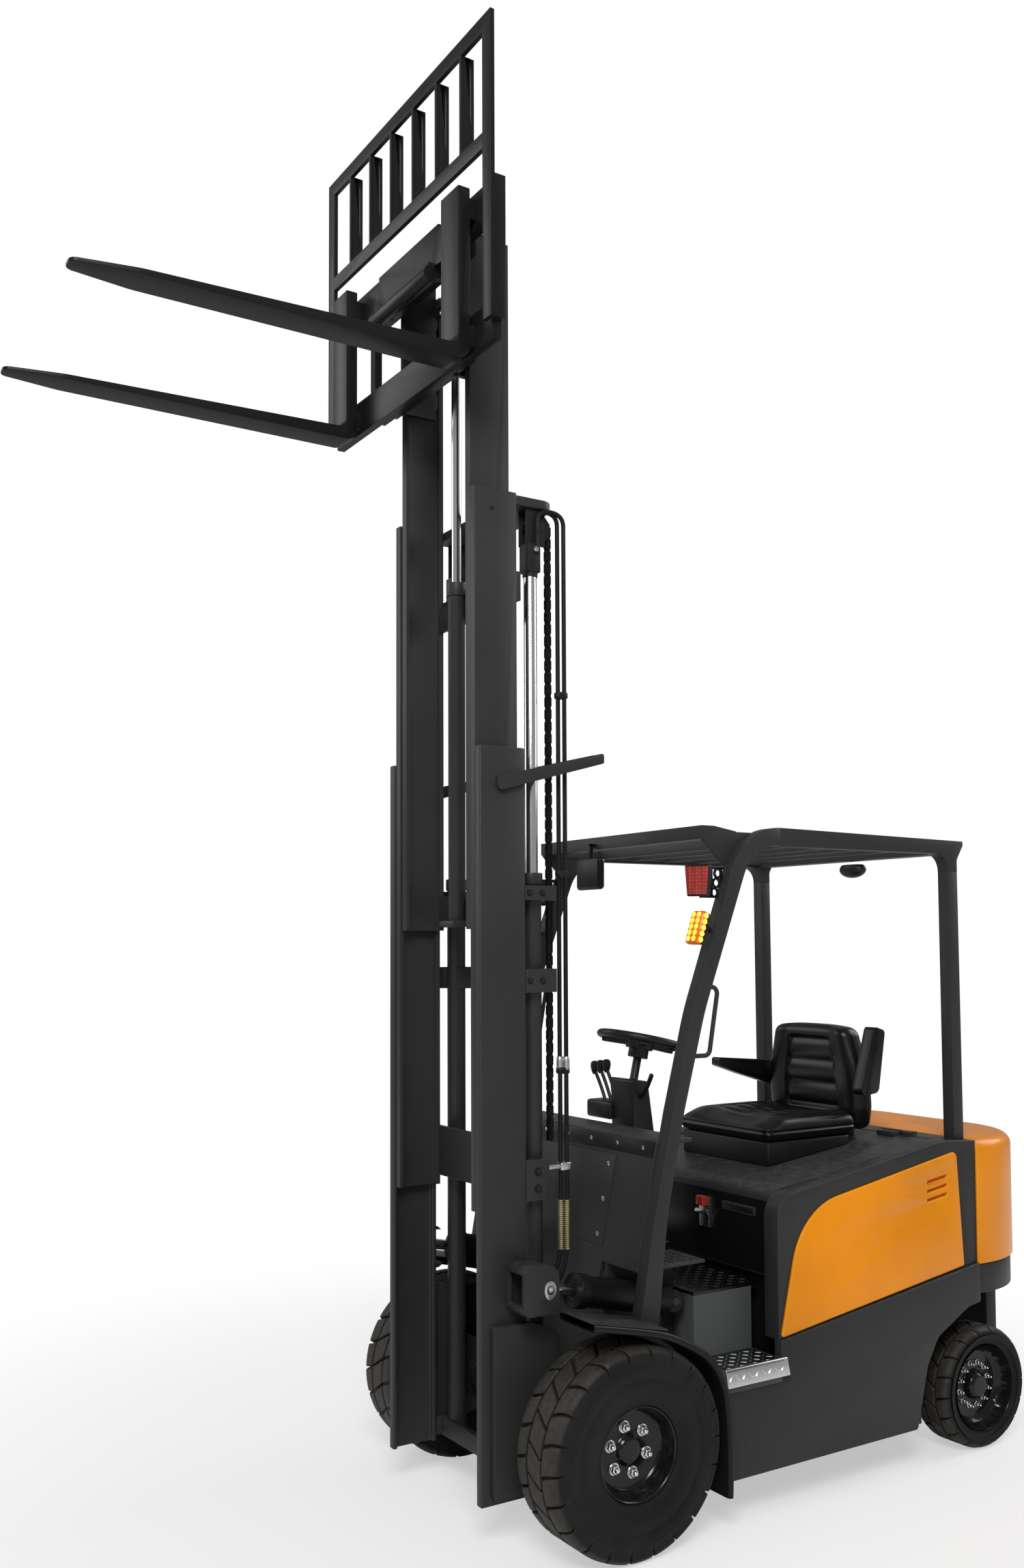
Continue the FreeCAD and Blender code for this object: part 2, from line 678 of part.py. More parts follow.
def forks():
    y = fork_face_y
    z = fork_heel_z
    x0 = fork_x - fork_width / 2
    x1 = fork_x + fork_width / 2
    tip = y - fork_length
    back = y + fork_thickness
    blade = plate_yz([
        (y, z + fork_shank_height, 4), (y, z + fork_thickness, 30), (tip, z + fork_tip_thickness, 3),
        (tip, z, 3), (tip + fork_taper_length, z), (back, z, 40), (back, z + fork_shank_height, 4)], x0, x1)
    narrow = (fork_width - fork_tip_width) / 2
    shoulder = tip + fork_tip_length
    plan = plate_xy([
        (x0, back + 1), (x1, back + 1), (x1, shoulder, 200), (x1 - narrow, tip, 22), (x0 + narrow, tip, 22),
        (x0, shoulder, 200)], z - 1, z + fork_shank_height + 1)
    hooks = [box(x0, x1, back, carrier_front_y, low, low + 60) for low in (lower_bar_z + 10, upper_bar_z + 30)]
    add_both("forks", fuse([blade.common(plan)] + hooks))


def backrest():
    y0 = backrest_front_y
    y1 = y0 + backrest_thickness
    w = backrest_half_width
    bar = backrest_bar
    mid = backrest_mid_z
    pieces = [box(-w, w, y0, y1, backrest_top_z - bar, backrest_top_z),
              box(-w, w, y0, y1, mid - bar / 2, mid + bar / 2)]
    pieces += both(box(w - bar, w, y0, y1, backrest_bottom_z, backrest_top_z))
    pieces += both(box(carrier_half_length, w, y0, carrier_rear_y, backrest_bottom_z, upper_bar_z + bar_height))
    spacing = 2 * (w - bar / 2) / (backrest_slats + 1)
    for i in range(1, backrest_slats + 1):
        x = -w + bar / 2 + i * spacing
        pieces.append(box(x - slat_thickness / 2, x + slat_thickness / 2, y0, y0 + slat_depth, mid + bar / 2 - 1,
                          backrest_top_z - bar + 1))
    add("backrest", fuse(pieces))


# Tilt cylinders

def tilt_cylinders():
    anchor = vec(tilt_x, tilt_anchor_y, tilt_anchor_z)
    eye = vec(tilt_x, tilt_eye_y, tilt_eye_z)
    length = (eye - anchor).Length
    along = (eye - anchor).normalize()
    mouth = anchor + along * (length - tilt_rod_showing)
    pin_bore = cyl_x(tilt_x - 40, tilt_x + 40, tilt_anchor_y, tilt_anchor_z, tilt_pin_radius + running_gap)
    barrel = fuse([rod(anchor + along * 24, mouth, tilt_barrel_radius),
                   rod(mouth - along * 40, mouth, tilt_collar_radius),
                   cyl_x(tilt_x - 24, tilt_x + 24, tilt_anchor_y, tilt_anchor_z, 34)])
    rod_bore = rod(anchor + along * 60, eye, tilt_rod_radius + running_gap)
    add_left_and_right("tilt_barrel", barrel.cut(rod_bore).cut(pin_bore))
    end = cyl_x(tilt_x - 18, tilt_x + 18, tilt_eye_y, tilt_eye_z, tilt_eye_radius)
    shaft = rod(anchor + along * 150, eye, tilt_rod_radius)
    eye_bore = cyl_x(tilt_x - 40, tilt_x + 40, tilt_eye_y, tilt_eye_z, tilt_pin_radius + tilt_eye_clearance)
    add_left_and_right("tilt_rod", fuse([shaft, end]).cut(eye_bore))


# Chassis

def chassis():
    outer = body_half_width
    inner = outer - skirt_thickness
    nosing_low = step_z - step_nosing_height
    add_both("side_skirts", plate_yz([
        (skirt_front_y, skirt_bottom, 12), (wheelbase - 354, skirt_bottom, 12), (wheelbase - 301, 334, 30),
        (wheelbase - 248, 420, 60), (wheelbase - 94, arch_top_z - 10, 60), (counterweight_front_y, arch_top_z),
        (counterweight_front_y, sill_rear_z),
        (step_rear_y, sill_front_z), (step_rear_y, nosing_low), (skirt_front_y, nosing_low)], inner, outer))
    x = front_web_x
    under_floor = floor_z - floor_thickness
    front = gear_case_rear_y - 139
    tray = [box(-inner, inner, skirt_front_y, skirt_front_y + sheet, skirt_bottom, nosing_low),
            box(-x, x, skirt_front_y, skirt_front_y + sheet, nosing_low, under_floor),
            box(-inner, inner, skirt_front_y, tray_rear_y, skirt_bottom, skirt_bottom + sheet),
            box(-inner, inner, tray_rear_y - sheet, tray_rear_y, skirt_bottom, arch_top_z + 50),
            box(-x, x, front, front + sheet, gear_case_top_z, under_floor),
            box(-x, x, front, skirt_front_y, gear_case_top_z, gear_case_top_z + sheet)]
    tray += both(box(x - sheet, x, front, skirt_front_y, gear_case_top_z, under_floor))
    pin = cyl_x(x - sheet, tilt_x + 30, tilt_anchor_y, tilt_anchor_z, tilt_pin_radius)
    tray += both(pin.cut(box(0, x, front, skirt_front_y, under_floor, floor_z)))
    tray += both(box(150, 175, tray_rear_y, counterweight_front_y, arch_top_z, arch_top_z + 50))
    z = rear_tyre_radius
    hanger = [(-60, z - 48, 20), (60, z - 48, 20), (75, z + 40), (175, arch_top_z), (-175, arch_top_z), (-75, z + 40)]
    front_y = wheelbase - axle_pivot_half_length
    rear_hanger_y = wheelbase + axle_pivot_half_length - pivot_plate
    bore = cyl_y(front_y - 1, rear_hanger_y + pivot_plate + 1, 0, z, axle_pivot_radius + seat_gap)
    tray.append(plate_xz(hanger, front_y, front_y + pivot_plate).cut(bore))
    rear_hanger = plate_xz(hanger, rear_hanger_y, rear_hanger_y + pivot_plate).cut(bore)
    add("frame", fuse(tray), rear_hanger)
    add("battery", box(-battery_half_width, battery_half_width, battery_front_y, battery_rear_y,
                       skirt_bottom + sheet, battery_top_z))


def side_frame_shape():
    """The left side frame before the opening for its panel is cut."""
    rear = counterweight_front_y
    return plate_yz([
        (step_rear_y, sill_front_z), (step_rear_y, hood_front_z - 7, 75), (rear - 168, hood_rear_z + 10, 300),
        (rear, hood_rear_z), (rear, sill_rear_z)], hood_half_width + hood_side_gap, side_frame_outer_x)


def body():
    outer = side_frame_outer_x
    inner = hood_half_width + hood_side_gap
    rear = counterweight_front_y
    frame = side_frame_shape()
    opening = [(step_rear_y + 6, sill_front_z + 8, 8), (678, 907, 240), (rear - 104, hood_rear_z - 28, 20),
               (rear - 73, sill_rear_z - 1, 8)]
    window = plate_yz(opening, outer + panel_proud - panel_depth, outer + panel_proud)
    add_both("side_frames", frame.cut(window))
    panel = window
    for z in (870, 900, 930):
        panel = panel.cut(plate_yz([
            (rear - 252, z), (rear - 152, z + 14), (rear - 152, z + 26), (rear - 252, z + 12)], outer - 10, outer + 30))
    add_both("side_panels", panel)
    deck = plate_yz([
        (hood_rear_y + 12, hood_rear_z - hood_wall), (hood_rear_y + 12, hood_rear_z), (rear, hood_rear_z),
        (rear, hood_rear_z - hood_wall)], -inner, inner)
    z = hood_rear_z + hood_hinge_radius
    pins = both(cyl_x(200, 340, hood_hinge_y, z, hood_hinge_radius - 4))
    lugs = both(box(300, 340, hood_hinge_y - 6, hood_hinge_y + 30, hood_rear_z - 2, z + 6))
    add("rear_deck", fuse([deck] + pins + lugs))


def hood():
    w = hood_half_width
    front = hood_front_y
    rear = hood_rear_y
    t = hood_wall
    shell = plate_yz([
        (front, hood_low_z), (front, hood_front_z - 8, 24), (front + 40, hood_front_z + 8, 50), (rear, hood_rear_z),
        (rear, hood_rear_z - t), (front + 44, hood_front_z + 8 - t, 34), (front + t, hood_front_z - 20, 10),
        (front + t, hood_low_z)], -w, w)
    z = hood_rear_z + hood_hinge_radius
    knuckles = both(cyl_x(210, 290, hood_hinge_y, z, hood_hinge_radius))
    tabs = both(box(210, 290, rear - 30, hood_hinge_y, hood_rear_z - 2, z + 4))
    bore = cyl_x(-400, 400, hood_hinge_y, z, hood_hinge_radius - 4 + running_gap)
    add("hood", fuse([shell] + knuckles + tabs).cut(bore))
    latch = box(120, 168, front - 16, front, 800, 900)
    add("hood_latch", fuse([latch, cyl_x(112, 176, front - 20, 850, 9)]))


def counterweight():
    rear = rear_y
    front = counterweight_front_y
    split = counterweight_split_z

    def block(inset, low, high):
        w = counterweight_half_width - inset
        r = counterweight_corner - inset
        return plate_xy([(-w, front), (w, front), (w, rear - inset, r), (-w, rear - inset, r)], low, high)

    top = block(0, split, hood_rear_z)
    edges = [e for e in top.Edges if e.BoundBox.ZMin > hood_rear_z - 1 and e.BoundBox.YMax > front + 1]
    lift_hole = cyl_z(hood_rear_z - lift_hole_depth, hood_rear_z + 1, 0, lift_hole_y, lift_hole_radius)
    add("counterweight", top.makeFillet(40, edges).cut(lift_hole))
    base = block(bumper_inset, counterweight_low_z, split)
    for hollow in both(cyl_z(0, arch_top_z, kingpin_x, wheelbase, wheel_swing_radius)):
        base = base.cut(hollow)
    base = base.cut(box(-kingpin_x, kingpin_x, front - 10, wheelbase + axle_pivot_half_length + 10, 0, arch_top_z))
    foot = counterweight_foot_half_width
    for corner in both(box(foot, foot + counterweight_half_width, front - 10, rear + 10, 0, counterweight_corner_z)):
        base = base.cut(corner)
    add("counterweight_base", base)


def floor_and_steps():
    under = floor_z - floor_thickness
    wide = riser_x
    narrow = front_web_x
    floor = plate_xy([
        (-narrow, floor_front_y), (narrow, floor_front_y), (narrow, skirt_front_y), (wide, skirt_front_y),
        (wide, hood_front_y - 2), (-wide, hood_front_y - 2), (-wide, skirt_front_y),
        (-narrow, skirt_front_y)], under, floor_z)
    pedals = [box(130, 190, 300, 420, 770, 780), box(154, 166, 305, 325, floor_z - 2, 772),
              box(-190, -120, 280, 360, 790, 800), box(-161, -149, 285, 305, floor_z - 2, 792)]
    add("floor_plate", fuse([floor] + pedals))
    nosing_low = step_z - step_nosing_height
    riser = box(riser_x - sheet, riser_x, skirt_front_y, step_rear_y, nosing_low, under)
    front_wall = box(narrow, riser_x, skirt_front_y, skirt_front_y + sheet, nosing_low, under)
    hole = cyl_y(skirt_front_y - 1, skirt_front_y + sheet + 1, narrow + 22, under - 46, 13)
    tread = box(riser_x, body_half_width, skirt_front_y, step_rear_y, step_z - 10, step_z)
    edge = box(body_half_width - sheet, body_half_width, skirt_front_y, step_rear_y, nosing_low, step_z)
    add_both("steps", fuse([riser, front_wall.cut(hole), tread, edge]))
    add_both("step_nosings", box(body_half_width, body_half_width + step_nosing_depth, skirt_front_y,
                                 step_rear_y + 16, nosing_low, step_z + 4))


def fender_shape():
    """The left front fender."""
    t = fender_thickness
    return plate_yz([
        (-171, 693 - t - 10), (-171, 693, 16), (121, 628, 60), (300, 510, 60), (340, 300, 20), (332, 108, 4),
        (322, 108, 4), (322, 300, 30), (284, 494, 50), (112, 606, 50), (-160, 693 - t - 10, 10)],
        fender_inner_x, front_tyre_face)


def fenders():
    add_both("fenders", fender_shape())


def cowl():
    """The sloping dash between the front pillars, its top shelf and the covers over the tilt cylinders."""
    inner = guard_half_width - post_width
    foot = vec(0, 58, 640)
    head = vec(0, 164, dash_top_z)
    dash = plate_yz([(foot.y, foot.z), (head.y, head.z, 8), (head.y + sheet, head.z), (foot.y + sheet, foot.z)], -inner, inner)
    for notch in both(box(tilt_notch_x, inner + 1, 0, 200, foot.z - 1, shelf_z + 3)):
        dash = dash.cut(notch)
    top_shelf = box(-inner, inner, head.y + sheet - 4, shelf_rear_y, dash_top_z - sheet, dash_top_z)
    covers = both(box(front_web_x, inner, foot.y + 31, skirt_front_y, shelf_z, shelf_z + 10))
    covers += both(box(front_web_x - sheet, front_web_x, foot.y + 31, skirt_front_y, floor_z, shelf_z + 10))
    add("cowl", fuse([dash, top_shelf] + covers))


def front_pillar():
    """The left front pillar of the guard, flowing into the side rail."""
    top = guard_top_z
    pillar = plate_yz([
        (62, 627), (118, 935, 900), (188, 1238, 900), (269, 1540, 900), (486, top, guard_arc_radius),
        (guard_arc_end_y, top), (guard_arc_end_y, guard_low_z), (519, guard_low_z, guard_inner_arc_radius),
        (318, 1540, 900), (232, 1235, 900), (166, 933, 900), (130, 612)], guard_half_width - post_width, guard_half_width)
    return pillar.cut(fender_shape())


def guard():
    w = guard_half_width
    inner = w - post_width
    top = guard_top_z
    low = guard_low_z
    pillar = front_pillar()
    post_rear = guard_rear_y - 4
    post_front = guard_rear_y - post_depth - 2
    post_top = low - guard_corner_drop
    post = plate_yz([
        (post_front, post_top), (post_rear, post_top), (post_rear + 8, hood_rear_z), (post_front + 6, hood_rear_z)],
        inner, w).cut(side_frame_shape())
    add_both("guard_posts", pillar, post)
    tail = guard_rear_y + guard_tail
    rear_top = top - guard_fall
    side_rail = plate_yz([
        (guard_arc_end_y, top), (tail, rear_top, 5), (tail, rear_top - 15, 5), (post_rear, low - 19, 24),
        (post_rear, post_top), (post_front, post_top), (post_front, low, 60), (guard_arc_end_y, low)], inner, w)
    front = guard_front_y
    beam_rear = front + guard_front_beam_depth
    rear_beam = guard_rear_y - guard_rear_beam_depth
    beam_low = top - 42
    gusset = plate_yz([
        (front, top), (beam_rear, top), (540, top - 22, 40), (486, 1992, 30), (442, 1984, 8), (front, beam_low, 40)],
        inner - sheet, inner)
    roof = both(side_rail) + both(gusset)
    roof += [box(-inner, inner, front, beam_rear, beam_low, top),
             box(-inner, inner, rear_beam, guard_rear_y, low, rear_top - 2),
             box(-inner, inner, guard_rear_y - 2, tail, rear_top - 15, rear_top - 2)]
    roof += both(box(inner - 20, inner, beam_rear - 2, rear_beam + 2, low + 8, rear_top - 4))
    pitch = (rear_beam - guard_bars_from_y) / (guard_bars + 1)
    for i in range(1, guard_bars + 1):
        y = guard_bars_from_y + i * pitch
        roof.append(box(-inner, inner, y - guard_bar_depth / 2, y + guard_bar_depth / 2, low + 6, rear_top - 4))
    roof += [box(-25, 85, guard_rear_y - 57, guard_rear_y + 1, low - 61, low - 13),
             box(20, 40, guard_rear_y - 39, guard_rear_y - 19, low - 14, low + 1)]
    add("guard_roof", fuse(roof))
    x = w - post_width / 2
    handle = tube([vec(x, 330, 1608), vec(x, 389, 1612), vec(x, 351, 1402), vec(x, 268, 1402)], 7, 20)
    handle = handle.cut(pillar)
    add_both("grab_handles", max(handle.Solids, key=lambda s: s.Volume))


def lamps_and_mirror():
    x = guard_half_width - post_width / 2
    low = guard_low_z
    lamp = box(430, 500, 315, 340, 1890, 1985)
    arm = plate_yz([(338, 1900), (338, 1975), (440, 1937), (430, 1900)], x - 3, x + 3)
    add_both("square_lamps", fuse([lamp, arm.cut(front_pillar())]))
    amber = rod(vec(x, 296, 1745), vec(x, 326, 1838), 26)
    arm = plate_yz([(318, 1765), (330, 1810), (390, 1815), (370, 1765)], x - 3, x + 3)
    add_both("amber_lamps", fuse([amber, arm.cut(front_pillar())]))
    mirror_body = box(-187, -45, 318, 340, low - 123, low - 13)
    add("rear_view_mirror", fuse([mirror_body, box(-122, -110, 326, 338, low - 14, low + 36),
                                  box(-122, -110, 326, guard_front_y, low + 24, low + 36)]))


def operator_controls():
    column = plate_yz([
        (380, floor_z), (372, 1230, 20), (365, 1295, 10), (435, 1285, 10), (462, 1100, 30), (500, floor_z)],
        -column_half_width, column_half_width)
    tilt = math.radians(wheel_tilt)
    up = vec(0, math.sin(tilt), math.cos(tilt))
    centre = vec(0, wheel_centre_y, wheel_centre_z)
    shaft = rod(centre - up * 150, centre - up * 40, steering_shaft_radius)
    add("steering_column", fuse([column, shaft]))
    rim = Part.makeTorus(steering_wheel_radius - steering_rim_radius, steering_rim_radius, centre, up)
    hub = Part.makeCylinder(34, 62, centre - up * 60, up)
    shapes = [rim, hub]
    for angle in (90, 210, 330):
        spoke = box(0, steering_wheel_radius - steering_rim_radius, -11, 11, -22, -8)
        spoke.rotate(vec(0, 0, 0), vec(0, 0, 1), angle)
        spoke.rotate(vec(0, 0, 0), vec(1, 0, 0), -wheel_tilt)
        spoke.translate(centre)
        shapes.append(spoke)
    bore = Part.makeCylinder(steering_shaft_radius + running_gap, 22, centre - up * 61, up)
    add("steering_wheel", fuse(shapes).cut(bore))


def hood_top_z(y):
    """Height of the hood's top surface at y."""
    start = hood_front_y + 40
    return hood_front_z + 8 + (y - start) * (hood_rear_z - hood_front_z - 8) / (hood_rear_y - start)


def seat():
    y0 = seat_front_y
    w = seat_half_width
    base_rear = y0 + 400
    add("seat_base", plate_yz([
        (y0 + 16, hood_top_z(y0 + 16)), (base_rear, hood_top_z(base_rear)), (base_rear, seat_base_top_z),
        (y0 + 16, seat_base_top_z)], -w + 14, w - 14))
    low = seat_base_top_z + seat_gap
    add("seat_cushion", plate_yz([
        (y0, low, 20), (y0 + 4, seat_top_z, 36), (y0 + 428, seat_top_z - 22, 24), (y0 + 428, low)], -w, w))
    front = seat_back_front_y
    back = plate_yz([
        (front, hood_top_z(front) + 30, 20), (front - 8, seat_back_top_z - 16, 40), (front + 62, seat_back_top_z - 4, 24),
        (front + 108, 1100, 40), (front + 96, hood_top_z(front + 96) + 30)], -w + 6, w - 6)
    foot = box(-150, 150, front + 20, front + 70, hood_top_z(front + 20), hood_top_z(front) + 40)
    foot = foot.cut(plate_yz([(front, 1000), (front, hood_top_z(front)), (front + 90, hood_top_z(front + 90)),
                              (front + 90, 1000)], -160, 160))
    add("seat_back", fuse([back, foot]))
    x0 = w - 6
    x1 = x0 + 8
    x2 = x1 + armrest_width
    raised = plate_yz([
        (front - 37, 1205, 20), (front + 36, 1449, 16), (front + 90, 1432, 16), (front + 54, 1215, 24)], x1, x2)
    raised_pivot = cyl_x(x0, x1 + 4, front + 40, 1240, 18)
    lowered = plate_yz([
        (front - 224, 1316, 10), (front - 224, 1286, 10), (front - 122, 1252, 60), (front + 88, 1190, 20),
        (front + 90, 1290, 14)], -x2, -x1)
    lowered_pivot = cyl_x(-x1 - 4, -x0, front + 40, 1240, 18)
    add("armrests", fuse([raised, raised_pivot]), fuse([lowered, lowered_pivot]))


front_wheels()
rear_wheels()
drive_axle()
steer_axle()
outer_mast()
mid_mast()
inner_mast()
carriage()
fork_carrier()
forks()
backrest()
tilt_cylinders()
chassis()
body()
hood()
counterweight()
floor_and_steps()
fenders()
cowl()
guard()
lamps_and_mirror()
operator_controls()
seat()

shift_to_centre = -(fork_face_y - fork_length + rear_y) / 2

os.makedirs("parts", exist_ok=True)
for name, shape in parts.items():
    shape.translate(vec(0, shift_to_centre, 0))
    shape.exportStep("parts/" + name + ".step")
print(len(parts), "nodes")
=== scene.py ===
"""The electric forklift's looks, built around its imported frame.

Every rigid node gets a copy with rounded edges and a finish. Tyres, wheels, seat, controls, chains, hoses, lamps
and small fasteners are modelled here. Lengths are metres, +X is the truck's left, -Y its front and +Z up.
"""
import json
import logging
import math
from dataclasses import dataclass, field
from enum import Enum

import bpy
from mathutils import Matrix, Vector

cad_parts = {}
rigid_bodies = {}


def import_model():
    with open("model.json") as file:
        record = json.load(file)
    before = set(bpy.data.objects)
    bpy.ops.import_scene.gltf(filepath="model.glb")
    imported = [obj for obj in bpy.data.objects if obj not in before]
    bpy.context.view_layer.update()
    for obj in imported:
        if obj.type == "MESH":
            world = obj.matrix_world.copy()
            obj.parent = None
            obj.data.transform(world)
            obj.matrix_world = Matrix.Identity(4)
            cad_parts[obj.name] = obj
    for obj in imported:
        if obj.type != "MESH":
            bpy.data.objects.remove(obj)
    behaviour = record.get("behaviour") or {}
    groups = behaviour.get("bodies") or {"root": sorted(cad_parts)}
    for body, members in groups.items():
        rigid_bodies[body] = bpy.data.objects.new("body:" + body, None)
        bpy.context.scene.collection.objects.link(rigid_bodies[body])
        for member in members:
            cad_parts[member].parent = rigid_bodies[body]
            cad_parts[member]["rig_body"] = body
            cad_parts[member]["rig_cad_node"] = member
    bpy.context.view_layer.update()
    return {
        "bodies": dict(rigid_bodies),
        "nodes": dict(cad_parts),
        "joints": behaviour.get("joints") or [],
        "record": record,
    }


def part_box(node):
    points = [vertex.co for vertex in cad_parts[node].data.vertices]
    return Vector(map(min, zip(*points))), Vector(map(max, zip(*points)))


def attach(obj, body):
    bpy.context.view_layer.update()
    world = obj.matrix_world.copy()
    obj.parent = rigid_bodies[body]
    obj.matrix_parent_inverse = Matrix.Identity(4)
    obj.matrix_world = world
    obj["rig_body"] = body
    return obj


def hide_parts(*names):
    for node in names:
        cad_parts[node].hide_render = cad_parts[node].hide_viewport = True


LOG = logging.getLogger("forklift")
FRONT_AXLE_Y = -0.1675
REAR_AXLE_Y = 1.3665
Point = tuple[float, float, float]


class Side(Enum):
    """The truck's two sides, with the sign of their X."""

    LEFT = 1
    RIGHT = -1

    @property
    def word(self) -> str:
        """The side's name as the nodes spell it."""
        return self.name.lower()


class Value:
    """A shader socket or a number that can be written in expressions."""

    def __init__(self, tree: bpy.types.NodeTree, source: object) -> None:
        """Keep the node tree and the socket or number."""
        self.tree = tree
        self.source = source

    def feed(self, target: bpy.types.NodeSocket) -> None:
        """Link the socket to a target, or write the number into it."""
        if isinstance(self.source, bpy.types.NodeSocket):
            self.tree.links.new(self.source, target)
        else:
            target.default_value = self.source

    def math(self, operation: str, *others: object, clamp: bool = False) -> "Value":
        """Add a Math node.

        Args:
            operation: The node's operation.
            others: The values after this one.
            clamp: Whether the result stays between 0 and 1.

        Returns:
            The node's result.
        """
        node = self.tree.nodes.new("ShaderNodeMath")
        node.operation = operation
        node.use_clamp = clamp
        for socket, item in zip(node.inputs, (self, *others)):
            wrap(self.tree, item).feed(socket)
        return Value(self.tree, node.outputs[0])

    def __add__(self, other: object) -> "Value":
        """Sum."""
        return self.math("ADD", other)

    __radd__ = __add__

    def __mul__(self, other: object) -> "Value":
        """Product."""
        return self.math("MULTIPLY", other)

    __rmul__ = __mul__

    def __sub__(self, other: object) -> "Value":
        """Difference."""
        return self.math("SUBTRACT", other)

    def __rsub__(self, other: object) -> "Value":
        """Difference from a number."""
        return wrap(self.tree, other).math("SUBTRACT", self)

    def __truediv__(self, other: object) -> "Value":
        """Quotient."""
        return self.math("DIVIDE", other)

    def __gt__(self, other: object) -> "Value":
        """1 where this is the greater, else 0."""
        return self.math("GREATER_THAN", other)

    def smooth(self, low: float, high: float) -> "Value":
        """A smooth step from 0 at low to 1 at high."""
        node = self.tree.nodes.new("ShaderNodeMapRange")
        node.interpolation_type = "SMOOTHSTEP"
        node.inputs["From Min"].default_value = low
        node.inputs["From Max"].default_value = high
        self.feed(node.inputs["Value"])
        return Value(self.tree, node.outputs["Result"])


def wrap(tree: bpy.types.NodeTree, item: object) -> Value:
    """A Value made from a number, socket or Value."""
    return item if isinstance(item, Value) else Value(tree, item)


class Graph:
    """The nodes of one material."""

    def __init__(self, name: str) -> None:
        """Make the material with only its output and one Principled shader."""
        self.material = bpy.data.materials.new("finish_" + name)
        self.material.use_nodes = True
        self.tree = self.material.node_tree
        self.tree.nodes.clear()
        self.output = self.tree.nodes.new("ShaderNodeOutputMaterial")
        self.shader = self.tree.nodes.new("ShaderNodeBsdfPrincipled")
        self.tree.links.new(self.shader.outputs[0], self.output.inputs["Surface"])
        coordinates = self.tree.nodes.new("ShaderNodeTexCoord")
        self.place = Value(self.tree, coordinates.outputs["Object"])

    def node(self, kind: str, settings: dict | None = None, inputs: dict | None = None, output: int | str = 0) -> Value:
        """Add any node.

        Args:
            kind: The node's type without the leading ShaderNode.
            settings: Properties set before the sockets.
            inputs: Values or links by socket name or number.
            output: The socket to return.

        Returns:
            The chosen output.
        """
        node = self.tree.nodes.new("ShaderNode" + kind)
        for key, setting in (settings or {}).items():
            setattr(node, key, setting)
        for key, item in (inputs or {}).items():
            wrap(self.tree, item).feed(node.inputs[key])
        return Value(self.tree, node.outputs[output])

    def noise(self, scale: float, detail: float = 3.0, rough: float = 0.5, stretch: Point = (1, 1, 1)) -> Value:
        """Noise on the piece's own coordinates, from 0 to 1."""
        place = self.place
        if stretch != (1, 1, 1):
            place = self.node("Mapping", inputs={"Vector": place, "Scale": stretch})
        return self.node("TexNoise", inputs={"Vector": place, "Scale": scale, "Detail": detail, "Roughness": rough})

    def mix(self, factor: object, first: object, second: object) -> Value:
        """First colour at factor 0, second at factor 1."""
        node = self.tree.nodes.new("ShaderNodeMix")
        node.data_type = "RGBA"
        wrap(self.tree, factor).feed(node.inputs[0])
        for socket, item in ((node.inputs[6], first), (node.inputs[7], second)):
            wrap(self.tree, rgba(item) if isinstance(item, tuple) else item).feed(socket)
        return Value(self.tree, node.outputs[2])

    def bump(self, height: Value, strength: float, distance: float) -> None:
        """Raise the surface by a height, after any bump that is there."""
        node = self.tree.nodes.new("ShaderNodeBump")
        node.inputs["Strength"].default_value = strength
        node.inputs["Distance"].default_value = distance
        height.feed(node.inputs["Height"])
        normal = self.shader.inputs["Normal"]
        if normal.links:
            self.tree.links.new(normal.links[0].from_socket, node.inputs["Normal"])
        self.tree.links.new(node.outputs[0], normal)

    def set(self, **inputs: object) -> None:
        """Feed the shader's sockets; a name's underscores stand for spaces."""
        for key, item in inputs.items():
            item = rgba(item) if isinstance(item, tuple) and len(item) == 3 else item
            wrap(self.tree, item).feed(self.shader.inputs[key.replace("_", " ")])


def rgba(colour: tuple[float, ...]) -> tuple[float, ...]:
    """A colour with its alpha."""
    return tuple(colour) + (1.0,) * (4 - len(colour))


def shade(colour: tuple[float, ...], factor: float) -> tuple[float, ...]:
    """A colour made lighter or darker."""
    return tuple(min(1.0, part * factor) for part in colour)


